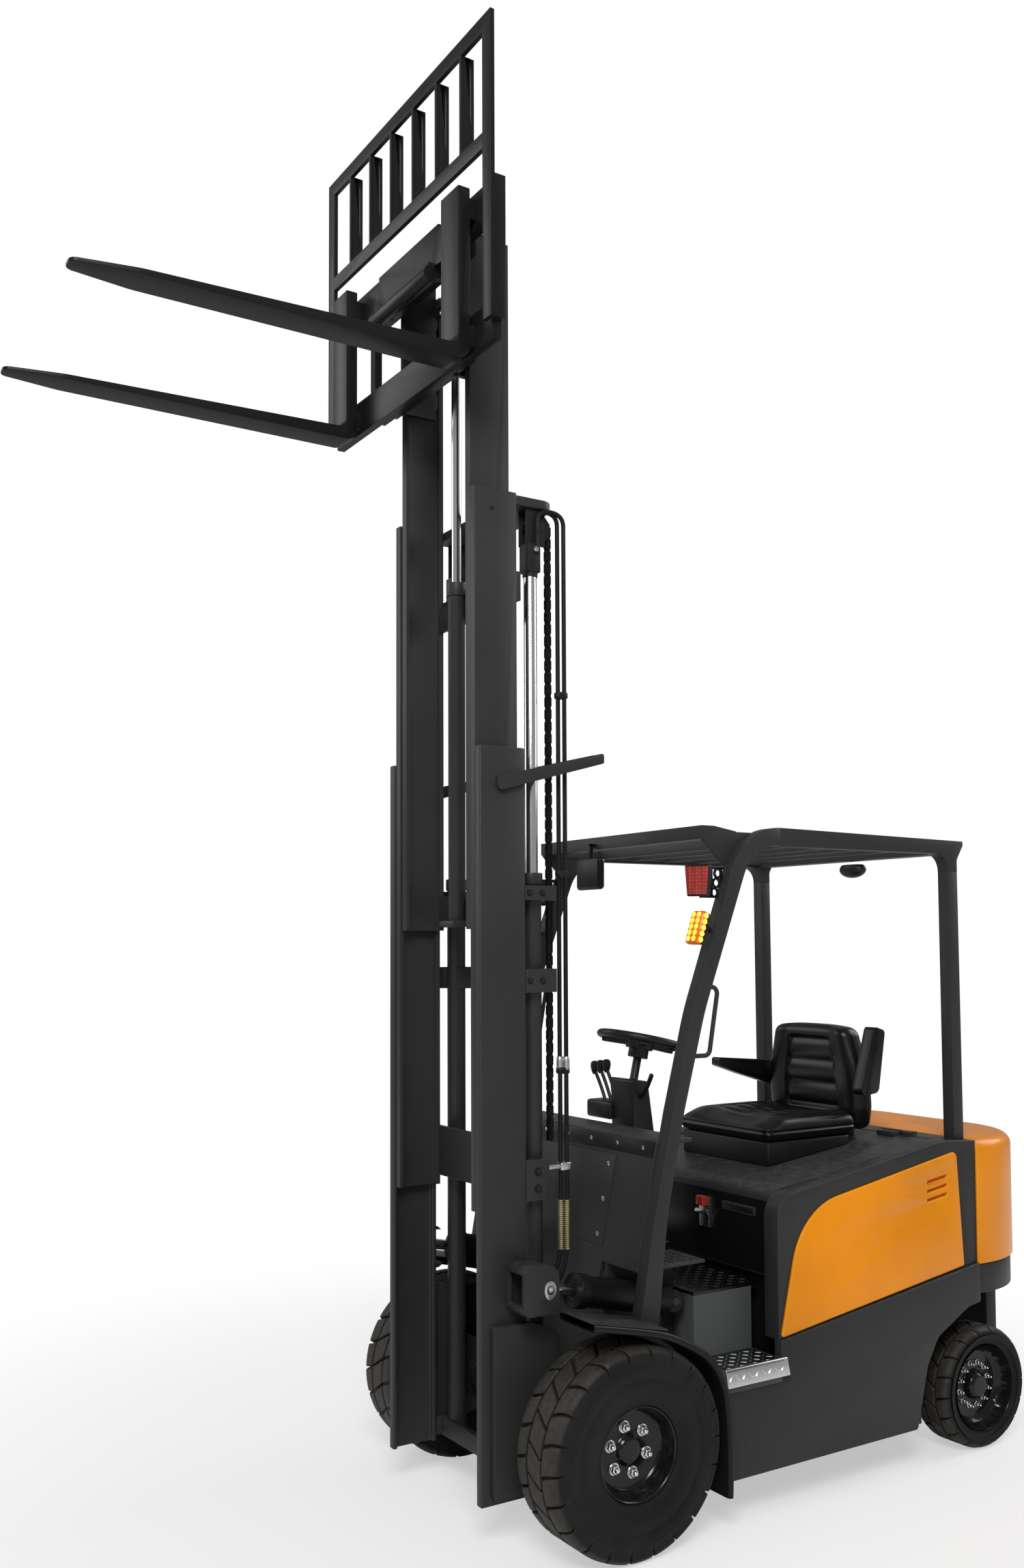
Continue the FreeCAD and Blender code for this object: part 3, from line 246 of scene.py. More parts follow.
@dataclass(frozen=True)
class Paint:
    """Sprayed paint on steel: faint mottling, orange peel, dust where it faces up, and on its edges a painted highlight
    with worn spots.
    """

    name: str
    colour: tuple[float, float, float]
    roughness: float = 0.42
    coat: float = 0.0
    peel: float = 0.1
    shine: float = 0.18
    dust: float = 0.1
    wear: float = 0.35
    primer: tuple[float, float, float] = (0.16, 0.16, 0.155)

    def material(self, edge: bool = False) -> bpy.types.Material:
        """Build the paint.

        Args:
            edge: Whether this is the rounded edge, which is painted lighter as a highlight and has worn spots.

        Returns:
            The material.
        """
        graph = Graph(self.name + ("_edge" if edge else ""))
        cloud = graph.noise(1.7, 4.0)
        fine = graph.noise(38.0, 5.0, 0.65)
        colour = graph.mix(cloud.smooth(0.3, 0.7), shade(self.colour, 0.88), shade(self.colour, 1.12))
        up = graph.node("SeparateXYZ", inputs={0: graph.node("NewGeometry", output="Normal")}, output=2)
        settled = up.smooth(0.45, 0.95) * fine.smooth(0.35, 0.75) * self.dust
        colour = graph.mix(settled, colour, (0.33, 0.31, 0.28))
        rough = cloud * 0.1 + fine * 0.08 + (self.roughness - 0.09) + settled * 0.4
        if edge:
            worn = graph.noise(90.0, 4.0, 0.7).smooth(0.62, 0.74) * cloud.smooth(0.35, 0.6) * self.wear
            # the edge colour is mixed towards a lighter paint, a painted highlight on every rounded edge; the worn
            # spots show the primer
            colour = graph.mix(worn, graph.mix(0.35, colour, shade(self.colour, 1.7)), self.primer)
        graph.set(Base_Color=colour, Roughness=rough, IOR=1.5, Specular_IOR_Level=self.shine, Coat_Weight=self.coat,
                  Coat_Roughness=0.06)
        graph.bump(graph.noise(420.0, 2.0), self.peel, 0.0006)
        return graph.material


@dataclass(frozen=True)
class Rubber:
    """Tyre rubber: black side walls, brown dust on what touches the floor, fine grain."""

    name: str
    colour: tuple[float, float, float] = (0.007, 0.007, 0.007)
    tread_dust: tuple[float, float, float] = (0.052, 0.046, 0.038)
    tread_radius: float = 0.0
    axle_y: float = 0.0
    radius: float = 0.3

    def material(self) -> bpy.types.Material:
        """Build the rubber; with a tread radius, dust lies on what is further out."""
        graph = Graph(self.name)
        patch = graph.noise(9.0, 5.0, 0.6)
        colour = graph.mix(patch.smooth(0.3, 0.75), shade(self.colour, 0.75), shade(self.colour, 1.5))
        if self.tread_radius:
            split = graph.tree.nodes.new("ShaderNodeSeparateXYZ")
            graph.place.feed(split.inputs[0])
            along = Value(graph.tree, split.outputs[1]) - self.axle_y
            above = Value(graph.tree, split.outputs[2]) - self.radius
            reach = (along * along + above * above).math("SQRT")
            dusty = reach.smooth(self.tread_radius - 0.012, self.tread_radius + 0.004)
            grit = graph.noise(55.0, 5.0, 0.7).smooth(0.25, 0.8)
            colour = graph.mix(dusty * (grit * 0.55 + 0.35), colour, self.tread_dust)
        graph.set(Base_Color=colour, Roughness=patch * 0.16 + 0.46, IOR=1.45, Specular_IOR_Level=0.22)
        graph.bump(graph.noise(300.0, 4.0, 0.6), 0.18, 0.0008)
        return graph.material


@dataclass(frozen=True)
class Metal:
    """Bare or plated metal with a fine brushed or cast grain."""

    name: str
    colour: tuple[float, float, float]
    roughness: float = 0.25
    stretch: Point = (1, 1, 1)
    grain: float = 0.05
    spots: float = 0.15

    def material(self) -> bpy.types.Material:
        """Build the metal."""
        graph = Graph(self.name)
        lines = graph.noise(160.0, 4.0, 0.6, self.stretch)
        cloud = graph.noise(14.0, 4.0, 0.6)
        colour = graph.mix(cloud.smooth(0.35, 0.75) * self.spots, self.colour, shade(self.colour, 0.55))
        graph.set(Base_Color=colour, Metallic=1.0, Roughness=lines * 0.12 + cloud * 0.1 + (self.roughness - 0.08))
        graph.bump(lines, self.grain, 0.0004)
        return graph.material


@dataclass(frozen=True)
class Moulded:
    """Moulded plastic or vinyl: a pebbled grain and a little sheen."""

    name: str
    colour: tuple[float, float, float]
    roughness: float = 0.5
    grain_scale: float = 420.0
    grain: float = 0.25
    coat: float = 0.0

    def material(self) -> bpy.types.Material:
        """Build the plastic."""
        graph = Graph(self.name)
        cells = graph.node("TexVoronoi", {"feature": "F1"}, {"Vector": graph.place, "Scale": self.grain_scale})
        cloud = graph.noise(6.0, 4.0)
        colour = graph.mix(cloud.smooth(0.3, 0.7), shade(self.colour, 0.85), shade(self.colour, 1.2))
        graph.set(Base_Color=colour, Roughness=cloud * 0.14 + (self.roughness - 0.07), IOR=1.48, Specular_IOR_Level=0.32,
                  Coat_Weight=self.coat, Coat_Roughness=0.1)
        graph.bump(cells, self.grain, 0.0005)
        return graph.material


@dataclass(frozen=True)
class Lens:
    """A lamp's lens over small round reflectors, lit or unlit."""

    name: str
    colour: tuple[float, float, float]
    core: tuple[float, float, float]
    glow: float = 0.0
    cell: float = 75.0

    def material(self) -> bpy.types.Material:
        """Build the lens."""
        graph = Graph(self.name)
        cells = graph.node("TexVoronoi", {"feature": "F1"}, {"Vector": graph.place, "Scale": self.cell,
                                                              "Randomness": 0.15})
        spot = 1 - cells.smooth(0.1, 0.55)
        colour = graph.mix(spot, self.colour, self.core)
        graph.set(Base_Color=colour, Roughness=0.18, IOR=1.5, Coat_Weight=0.5, Coat_Roughness=0.05,
                  Emission_Color=colour, Emission_Strength=self.glow)
        graph.bump(cells, 0.3, 0.002)
        return graph.material


GREY = (0.0275, 0.029, 0.028)
ORANGE = (0.78, 0.255, 0.004)
FINISHES = {
    "grey_paint": Paint("grey_paint", GREY),
    "black_paint": Paint("black_paint", (0.008, 0.008, 0.0085), roughness=0.36, dust=0.05),
    "orange_paint": Paint("orange_paint", ORANGE, roughness=0.3, coat=0.12, peel=0.05, dust=0.02, wear=0.1,
                          primer=(0.5, 0.3, 0.12)),
    # a lighter copy of the grey paint: painted light that makes up for the shade on the steps' box
    "light_grey_paint": Paint("deck_paint", (0.075, 0.078, 0.078), roughness=0.5),
    "black_gloss": Paint("black_gloss", (0.006, 0.006, 0.006), roughness=0.28, dust=0.02),
    "dark_steel": Paint("dark_steel", (0.014, 0.014, 0.0145), roughness=0.45, wear=0.6),
    "rim_paint": Paint("rim_paint", (0.005, 0.005, 0.005), roughness=0.2, coat=0.3, dust=0.03),
    "cast_black": Paint("cast_black", (0.016, 0.016, 0.016), roughness=0.55, peel=0.35),
    "black_plastic": Moulded("black_plastic", (0.008, 0.008, 0.0085), roughness=0.42),
    "seat_vinyl": Moulded("seat_vinyl", (0.004, 0.004, 0.0045), roughness=0.3, grain_scale=520.0, grain=0.1),
    "hose_rubber": Rubber("hose_rubber"),
    "front_tyre": Rubber("front_tyre", tread_radius=0.29, axle_y=FRONT_AXLE_Y, radius=0.3),
    "rear_tyre": Rubber("rear_tyre", tread_radius=0.198, axle_y=REAR_AXLE_Y, radius=0.206),
    "bright_steel": Metal("bright_steel", (0.72, 0.72, 0.7), roughness=0.24, spots=0.3),
    "chain_steel": Metal("chain_steel", (0.03, 0.03, 0.029), roughness=0.4, spots=0.4),
    "zinc": Metal("zinc", (0.6, 0.6, 0.58), roughness=0.34, spots=0.25),
    "dark_plate": Metal("dark_plate", (0.055, 0.056, 0.058), roughness=0.36, spots=0.4),
    "brass": Metal("brass", (0.55, 0.5, 0.3), roughness=0.35, spots=0.5),
    "mirror_glass": Metal("mirror_glass", (0.9, 0.92, 0.93), roughness=0.1, grain=0.0, spots=0.0),
    "yellow_plastic": Moulded("yellow_plastic", (0.75, 0.5, 0.02), roughness=0.35, grain=0.05),
    "red_lens": Lens("red_lens", (0.26, 0.02, 0.014), (0.5, 0.06, 0.04), cell=95.0),
    "chrome_rod": Metal("chrome_rod", (0.78, 0.79, 0.8), roughness=0.14, spots=0.05, grain=0.02),
    "step_steel": Metal("step_steel", (0.16, 0.165, 0.17), roughness=0.3, spots=0.3),
    "tread_plate": Metal("tread_plate", (0.7, 0.715, 0.71), roughness=0.3),
    "red_plastic": Moulded("red_plastic", (0.42, 0.025, 0.015), roughness=0.3, grain=0.05, coat=0.3),
    "amber_lens": Moulded("amber_lens", (0.85, 0.16, 0.006), roughness=0.2, grain=0.03, coat=0.4),
    "amber_light": Lens("amber_light", (1.0, 0.5, 0.02), (1.0, 0.8, 0.16), glow=1.0, cell=160.0),
}


MADE: dict[str, bpy.types.Material] = {}


def finish(key: str, edge: bool = False) -> bpy.types.Material:
    """The material of a finish, made when it is first asked for.

    Args:
        key: The finish's name in FINISHES.
        edge: Whether it is for the edges, with their worn spots and painted highlight, where the finish has them.

    Returns:
        The material.
    """
    look = FINISHES[key]
    # worn picks the edge paint, which has worn spots and a painted highlight
    worn = edge and isinstance(look, Paint)
    name = key + ("_edge" if worn else "")
    if name not in MADE:
        MADE[name] = look.material(True) if worn else look.material()
    return MADE[name]


class Bench:
    """The modelling steps that every sub-assembly uses."""

    @staticmethod
    def alone(piece: bpy.types.Object) -> None:
        """Select one piece and make it active."""
        bpy.ops.object.select_all(action="DESELECT")
        piece.hide_set(False)
        piece.select_set(True)
        bpy.context.view_layer.objects.active = piece

    @staticmethod
    def settle(piece: bpy.types.Object) -> bpy.types.Object:
        """Put a piece's place into its mesh, with the object at the origin."""
        Bench.alone(piece)
        bpy.ops.object.transform_apply(location=True, rotation=True, scale=True)
        return piece

    @staticmethod
    def modify(piece: bpy.types.Object, kind: str, **settings: object) -> None:
        """Add a modifier and apply it.

        Args:
            piece: The object.
            kind: The modifier's type.
            settings: Its properties.
        """
        Bench.alone(piece)
        modifier = piece.modifiers.new(kind.lower(), kind)
        for key, setting in settings.items():
            setattr(modifier, key, setting)
        bpy.ops.object.modifier_apply(modifier=modifier.name)

    @staticmethod
    def smooth(piece: bpy.types.Object, degrees: float = 35.0) -> None:
        """Shade a piece smooth but for its sharp edges."""
        Bench.alone(piece)
        bpy.ops.object.shade_smooth_by_angle(angle=math.radians(degrees))

    @staticmethod
    def round_edges(piece: bpy.types.Object, width: float, segments: int = 2, slot: int = -1) -> None:
        """Round every sharp edge.

        Args:
            piece: The object.
            width: The rounding's width.
            segments: The rounding's steps.
            slot: The material slot of the new faces, or -1.
        """
        Bench.modify(piece, "BEVEL", width=width, segments=segments, limit_method="ANGLE",
                     angle_limit=math.radians(32), material=slot, use_clamp_overlap=True, miter_outer="MITER_ARC")

    @staticmethod
    def join(name: str, pieces: list[bpy.types.Object]) -> bpy.types.Object:
        """Join pieces into one of a name.

        Args:
            name: The joined piece's name.
            pieces: The objects; the first one stays.

        Returns:
            The joined piece.
        """
        bpy.ops.object.select_all(action="DESELECT")
        for piece in pieces:
            piece.select_set(True)
        bpy.context.view_layer.objects.active = pieces[0]
        if len(pieces) > 1:
            bpy.ops.object.join()
        pieces[0].name = name
        return pieces[0]

    @staticmethod
    def block(name: str, low: Point, high: Point, rounding: float = 0.0, segments: int = 2) -> bpy.types.Object:
        """A box between two corners.

        Args:
            name: The piece's name.
            low: The lowest corner.
            high: The highest corner.
            rounding: The radius of its edges.
            segments: The rounding's steps.

        Returns:
            The piece.
        """
        first, last = Vector(low), Vector(high)
        bpy.ops.object.select_all(action="DESELECT")
        bpy.ops.mesh.primitive_cube_add(size=1.0, location=(first + last) / 2, scale=last - first)
        piece = bpy.context.active_object
        piece.name = name
        Bench.settle(piece)
        if rounding:
            Bench.round_edges(piece, rounding, segments)
        return piece

    @staticmethod
    def turned(name: str, centre: Point, rings: list[tuple[float, float]], axis: str = "X", steps: int = 48,
               closed: bool = False) -> bpy.types.Object:
        """A turned form, drawn out ring by ring.

        Args:
            name: The piece's name.
            centre: The point that the rings are measured from.
            rings: Place along the axis and radius of each ring.
            axis: The axis it is turned about.
            steps: The corners of a ring.
            closed: Whether the last ring meets the first, as in a tyre.

        Returns:
            The piece.
        """
        unit = Vector([float(axis == part) for part in "XYZ"])
        turn = {"X": (0, math.pi / 2, 0), "Y": (math.pi / 2, 0, 0), "Z": (0, 0, 0)}[axis]
        middle = Vector(centre)
        bpy.ops.object.select_all(action="DESELECT")
        bpy.ops.mesh.primitive_circle_add(vertices=steps, radius=rings[0][1], rotation=turn,
                                          fill_type="NOTHING" if closed else "NGON",
                                          location=middle + unit * rings[0][0])
        piece = bpy.context.active_object
        piece.name = name
        Bench.settle(piece)
        bpy.ops.object.mode_set(mode="EDIT")
        bpy.ops.mesh.select_all(action="SELECT")
        for (start, radius), (end, wider) in zip(rings, rings[1:]):
            step = {"value": tuple(unit * (end - start))}
            if closed:
                bpy.ops.mesh.extrude_edges_move(TRANSFORM_OT_translate=step)
            else:
                bpy.ops.mesh.extrude_region_move(TRANSFORM_OT_translate=step)
            scale = wider / radius
            bpy.ops.transform.resize(value=tuple(1.0 if part else scale for part in unit),
                                     center_override=tuple(middle + unit * end))
        bpy.ops.mesh.select_all(action="SELECT")
        if closed:
            bpy.ops.mesh.remove_doubles(threshold=0.00001)
        bpy.ops.mesh.normals_make_consistent(inside=False)
        bpy.ops.object.mode_set(mode="OBJECT")
        return piece

    @staticmethod
    def twin(piece: bpy.types.Object, move: Matrix) -> bpy.types.Object:
        """A copy with its own mesh, moved by a matrix."""
        other = piece.copy()
        other.data = piece.data.copy()
        other.data.transform(move)
        if move.determinant() < 0:
            other.data.flip_normals()
        bpy.context.scene.collection.objects.link(other)
        return other

    @staticmethod
    def around(piece: bpy.types.Object, centre: Point, axis: str, count: int, start: float = 0.0) -> list[bpy.types.Object]:
        """Copies of a piece around an axis; the first piece is turned to the start and kept.

        Args:
            piece: The piece to copy.
            centre: A point of the axis.
            axis: X, Y or Z.
            count: How many there are in all.
            start: The first one's angle in degrees.

        Returns:
            All the pieces.
        """
        middle = Matrix.Translation(centre)
        pieces = []
        for i in range(count):
            turn = Matrix.Rotation(math.radians(start + 360 * i / count), 4, axis)
            pieces.append(Bench.twin(piece, middle @ turn @ middle.inverted()))
        bpy.data.objects.remove(piece)
        return pieces

    @staticmethod
    def line(piece: bpy.types.Object, places: list[Point]) -> list[bpy.types.Object]:
        """A copy of a piece moved by each of the places; the first piece goes."""
        pieces = [Bench.twin(piece, Matrix.Translation(place)) for place in places]
        bpy.data.objects.remove(piece)
        return pieces

    @staticmethod
    def mirrored(pieces: list[bpy.types.Object]) -> list[bpy.types.Object]:
        """The pieces with their copies on the truck's other side."""
        flip = Matrix.Scale(-1, 4, Vector((1, 0, 0)))
        return pieces + [Bench.twin(piece, flip) for piece in pieces]

    @staticmethod
    def tube(name: str, points: list[Point], radius: float, order: int = 3) -> bpy.types.Object:
        """A round tube along a smooth line.

        Args:
            name: The piece's name.
            points: The line's control points.
            radius: The tube's radius.
            order: The line's order; 2 gives straight runs.

        Returns:
            The tube as a mesh.
        """
        data = bpy.data.curves.new(name, "CURVE")
        data.dimensions = "3D"
        data.bevel_depth = radius
        data.bevel_resolution = 4
        data.use_fill_caps = True
        spline = data.splines.new("NURBS")
        spline.points.add(len(points) - 1)
        for corner, point in zip(spline.points, points):
            corner.co = (*point, 1.0)
        spline.order_u = order
        spline.use_endpoint_u = True
        spline.resolution_u = 8
        piece = bpy.data.objects.new(name, data)
        bpy.context.scene.collection.objects.link(piece)
        Bench.alone(piece)
        bpy.ops.object.convert(target="MESH")
        return bpy.context.active_object

    @staticmethod
    def dress(piece: bpy.types.Object, body: str, key: str, slot: str = "", degrees: float = 35.0) -> bpy.types.Object:
        """Finish a piece and let it ride.

        Args:
            piece: The object.
            body: The body that carries it.
            key: Its finish.
            slot: Not used; the record's slot, where it isn't the finish's name.
            degrees: The sharpest angle that is shaded smooth.

        Returns:
            The piece.
        """
        Bench.paint(piece, finish(key))
        Bench.smooth(piece, degrees)
        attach(piece, body)
        return piece

    @staticmethod
    def paint(piece: bpy.types.Object, *materials: bpy.types.Material) -> None:
        """Give a piece its materials, one per slot."""
        piece.data.materials.clear()
        for material in materials:
            piece.data.materials.append(material)


@dataclass
class Skin:
    """A copy of a rigid CAD node with merged faces, rounded edges and its slot's finish."""

    node: str
    body: str
    slot: str
    look: str
    rounding: float = 0.0025
    flat: bool = True
    cut_below: float = 0.0

    def trim(self, piece: bpy.types.Object) -> None:
        """Take off what hangs below a height near the truck's middle plane, where a modelled lamp stands for it."""
        for corner in piece.data.vertices:
            corner.select = corner.co.z < self.cut_below and abs(corner.co.x) < 0.1
        for part in (*piece.data.edges, *piece.data.polygons):
            part.select = all(piece.data.vertices[i].select for i in part.vertices)
        Bench.alone(piece)
        bpy.ops.object.mode_set(mode="EDIT")
        bpy.ops.mesh.delete(type="VERT")
        bpy.ops.object.mode_set(mode="OBJECT")

    def build(self, source: bpy.types.Object) -> bpy.types.Object:
        """Make the copy and let it stand for the node.

        Args:
            source: The CAD node's object.

        Returns:
            The new piece.
        """
        piece = source.copy()
        piece.data = source.data.copy()
        piece.parent = None
        piece.name = self.node + "_skin"
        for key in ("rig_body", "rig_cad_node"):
            if key in piece:
                del piece[key]
        bpy.context.scene.collection.objects.link(piece)
        Bench.alone(piece)
        bpy.ops.object.mode_set(mode="EDIT")
        bpy.ops.mesh.select_all(action="SELECT")
        bpy.ops.mesh.remove_doubles(threshold=0.00002)
        if self.flat:
            bpy.ops.mesh.dissolve_limited(angle_limit=math.radians(0.6))
        bpy.ops.object.mode_set(mode="OBJECT")
        if self.cut_below:
            self.trim(piece)
        # the second slot goes on the rounded edges: the edge paint, with worn spots and a painted highlight
        Bench.paint(piece, finish(self.look), finish(self.look, edge=True))
        Bench.round_edges(piece, self.rounding, slot=1)
        Bench.smooth(piece)
        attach(piece, self.body)
        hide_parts(self.node)
        return piece


@dataclass
class Tyre:
    """A solid tyre: a turned carcass with rows of slanted tread blocks that wrap over its shoulders."""

    node: str
    body: str
    look: str
    sign: int
    bead: float
    lugs: int
    depth: float = 0.013
    groove: float = 0.011
    slant: float = 0.4
    middle: float = 0.036
    wrap: float = 0.045

    def measure(self) -> tuple[Vector, float, float]:
        """The node's centre, radius and half width."""
        low, high = (Vector(corner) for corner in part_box(self.node))
        return (low + high) / 2, (high.z - low.z) / 2, (high.x - low.x) / 2

    def bend(self, piece: bpy.types.Object, centre: Vector) -> None:
        """Wrap a flat piece that lies over the wheel's top round the wheel."""
        for corner in piece.data.vertices:
            place = corner.co - centre
            angle = place.y / max(corner.co.z - centre.z, 0.01)
            corner.co = centre + Vector((place.x, place.z * math.sin(angle), place.z * math.cos(angle)))

    def lug(self, centre: Vector, radius: float, half: float, row: int) -> bpy.types.Object:
        """One tread block at the wheel's top.

        Args:
            centre: The wheel's centre.
            radius: The tyre's outer radius.
            half: Half of the tyre's width.
            row: -1 for the inner shoulder, 0 for the middle, 1 for the outer shoulder.

        Returns:
            The block.
        """
        length = 2 * math.pi * radius / self.lugs - self.groove
        foot = radius - self.depth - 0.01
        if row:
            reach = sorted((row * (self.middle + self.groove * 0.45), row * (half - 0.0015)))
        else:
            reach = [-self.middle + self.groove * 0.45, self.middle - self.groove * 0.45]
        piece = Bench.block("lug", (centre.x + reach[0], centre.y - length / 2, centre.z + foot),
                            (centre.x + reach[1], centre.y + length / 2, centre.z + radius))
        Bench.alone(piece)
        bpy.ops.object.mode_set(mode="EDIT")
        bpy.ops.mesh.select_all(action="SELECT")
        bpy.ops.mesh.subdivide(number_cuts=3)
        bpy.ops.object.mode_set(mode="OBJECT")
        shoulder = half - 0.034
        for corner in piece.data.vertices:
            out = corner.co.x - centre.x
            past = max(0.0, abs(out) - shoulder) / 0.034
            if row:
                corner.co.y += row * self.slant * (abs(out) - self.middle) * (1 - 0.35 * past)
                if corner.co.z < centre.z + foot + 0.004:
                    corner.co.z -= (self.wrap - self.depth) * past
                else:
                    corner.co.z -= 0.017 * past ** 2.2
                    corner.co.x -= row * 0.004 * past ** 2
            else:
                corner.co.y -= self.slant * 1.5 * out * self.sign
        Bench.round_edges(piece, 0.002, 1)
        self.bend(piece, centre)
        return piece

    def build(self) -> bpy.types.Object:
        """Turn the carcass, add the tread and let it stand for the node."""
        centre, radius, half = self.measure()
        base = radius - self.depth
        middle = (self.bead + base) / 2
        side = [(0.030, self.bead), (0.016, self.bead + 0.003), (0.011, self.bead + 0.014), (0.006, self.bead + 0.02),
                (0.001, middle - 0.006), (0.003, middle), (0.003, middle + 0.006), (0.0, middle + 0.011),
                (0.003, base - 0.034), (0.010, base - 0.012), (0.022, base - 0.003), (0.045, base)]
        rings = [(-half + inset, ring) for inset, ring in side] + [(half - inset, ring) for inset, ring in reversed(side)]
        carcass = Bench.turned(self.node + "_tread", centre, rings + rings[:1], steps=72, closed=True)
        pieces = [carcass]
        for row in (-1, 0, 1):
            shift = 0.0 if row else 180 / self.lugs
            pieces += Bench.around(self.lug(centre, radius, half, row), centre, "X", self.lugs, shift + row * 90 / self.lugs)
        tyre = Bench.join(self.node + "_tread", pieces)
        Bench.dress(tyre, self.body, self.look, "tyre_rubber", 40)
        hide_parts(self.node)
        return tyre


@dataclass
class DishedRim:
    """The drive wheel's rim: a rolled lip, a deep dish and a flat disc for the nuts."""

    node: str
    body: str
    side: Side
    face_x: float = 0.594
    lip: float = 0.135
    depth: float = 0.072
    disc: float = 0.108

    def build(self) -> bpy.types.Object:
        """Turn the rim from its inner edge to its hub."""
        low, high = (Vector(corner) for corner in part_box(self.node))
        centre = ((self.side.value * self.face_x), (low.y + high.y) / 2, (low.z + high.z) / 2)
        sign = self.side.value
        outline = [(-0.19, 0.06), (-0.19, self.lip - 0.004), (-0.035, self.lip - 0.004), (-0.026, self.lip),
                   (-0.019, self.lip + 0.001), (-0.016, self.lip - 0.003), (-0.019, self.lip - 0.007),
                   (-0.040, self.lip - 0.012), (-self.depth + 0.01, self.disc + 0.008), (-self.depth, self.disc),
                   (-self.depth, 0.046), (-self.depth + 0.006, 0.042), (-self.depth + 0.014, 0.036),
                   (-self.depth + 0.016, 0.03)]
        rim = Bench.turned(self.node + "_dish", centre, [(sign * along, ring) for along, ring in outline], steps=64)
        Bench.round_edges(rim, 0.0012, 1)
        Bench.dress(rim, self.body, "rim_paint", "rim_paint", 30)
        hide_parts(self.node)
        return rim


@dataclass
class WheelNuts:
    """The nuts on studs in a ring on a wheel's disc."""

    name: str
    body: str
    side: Side
    axle: tuple[float, float]
    disc_x: float
    ring: float
    count: int
    nut: float = 0.0135
    cap: float = 0.03

    def build(self) -> bpy.types.Object:
        """Make one nut with its washer and stud, and set it round the axle."""
        sign = self.side.value
        place = (sign * self.disc_x, self.axle[0], self.axle[1] + self.ring)
        nut = Bench.turned("nut", place, [(0, self.nut * 1.25), (sign * 0.0025, self.nut * 1.25)], steps=20)
        hexagon = Bench.turned("hexagon", place, [
            (0, self.nut), (sign * 0.012, self.nut), (sign * 0.0145, self.nut * 0.85)], steps=6)
        stud = Bench.turned("stud", place, [
            (0, self.nut * 0.55), (sign * 0.021, self.nut * 0.55), (sign * 0.0235, self.nut * 0.4)], steps=12)
        one = Bench.join("nut", [nut, hexagon, stud])
        Bench.round_edges(one, 0.0008, 1)
        ring = Bench.join(self.name, Bench.around(one, (0, *self.axle), "X", self.count, 12.0))
        return Bench.dress(ring, self.body, "bright_steel", "chrome_rod")


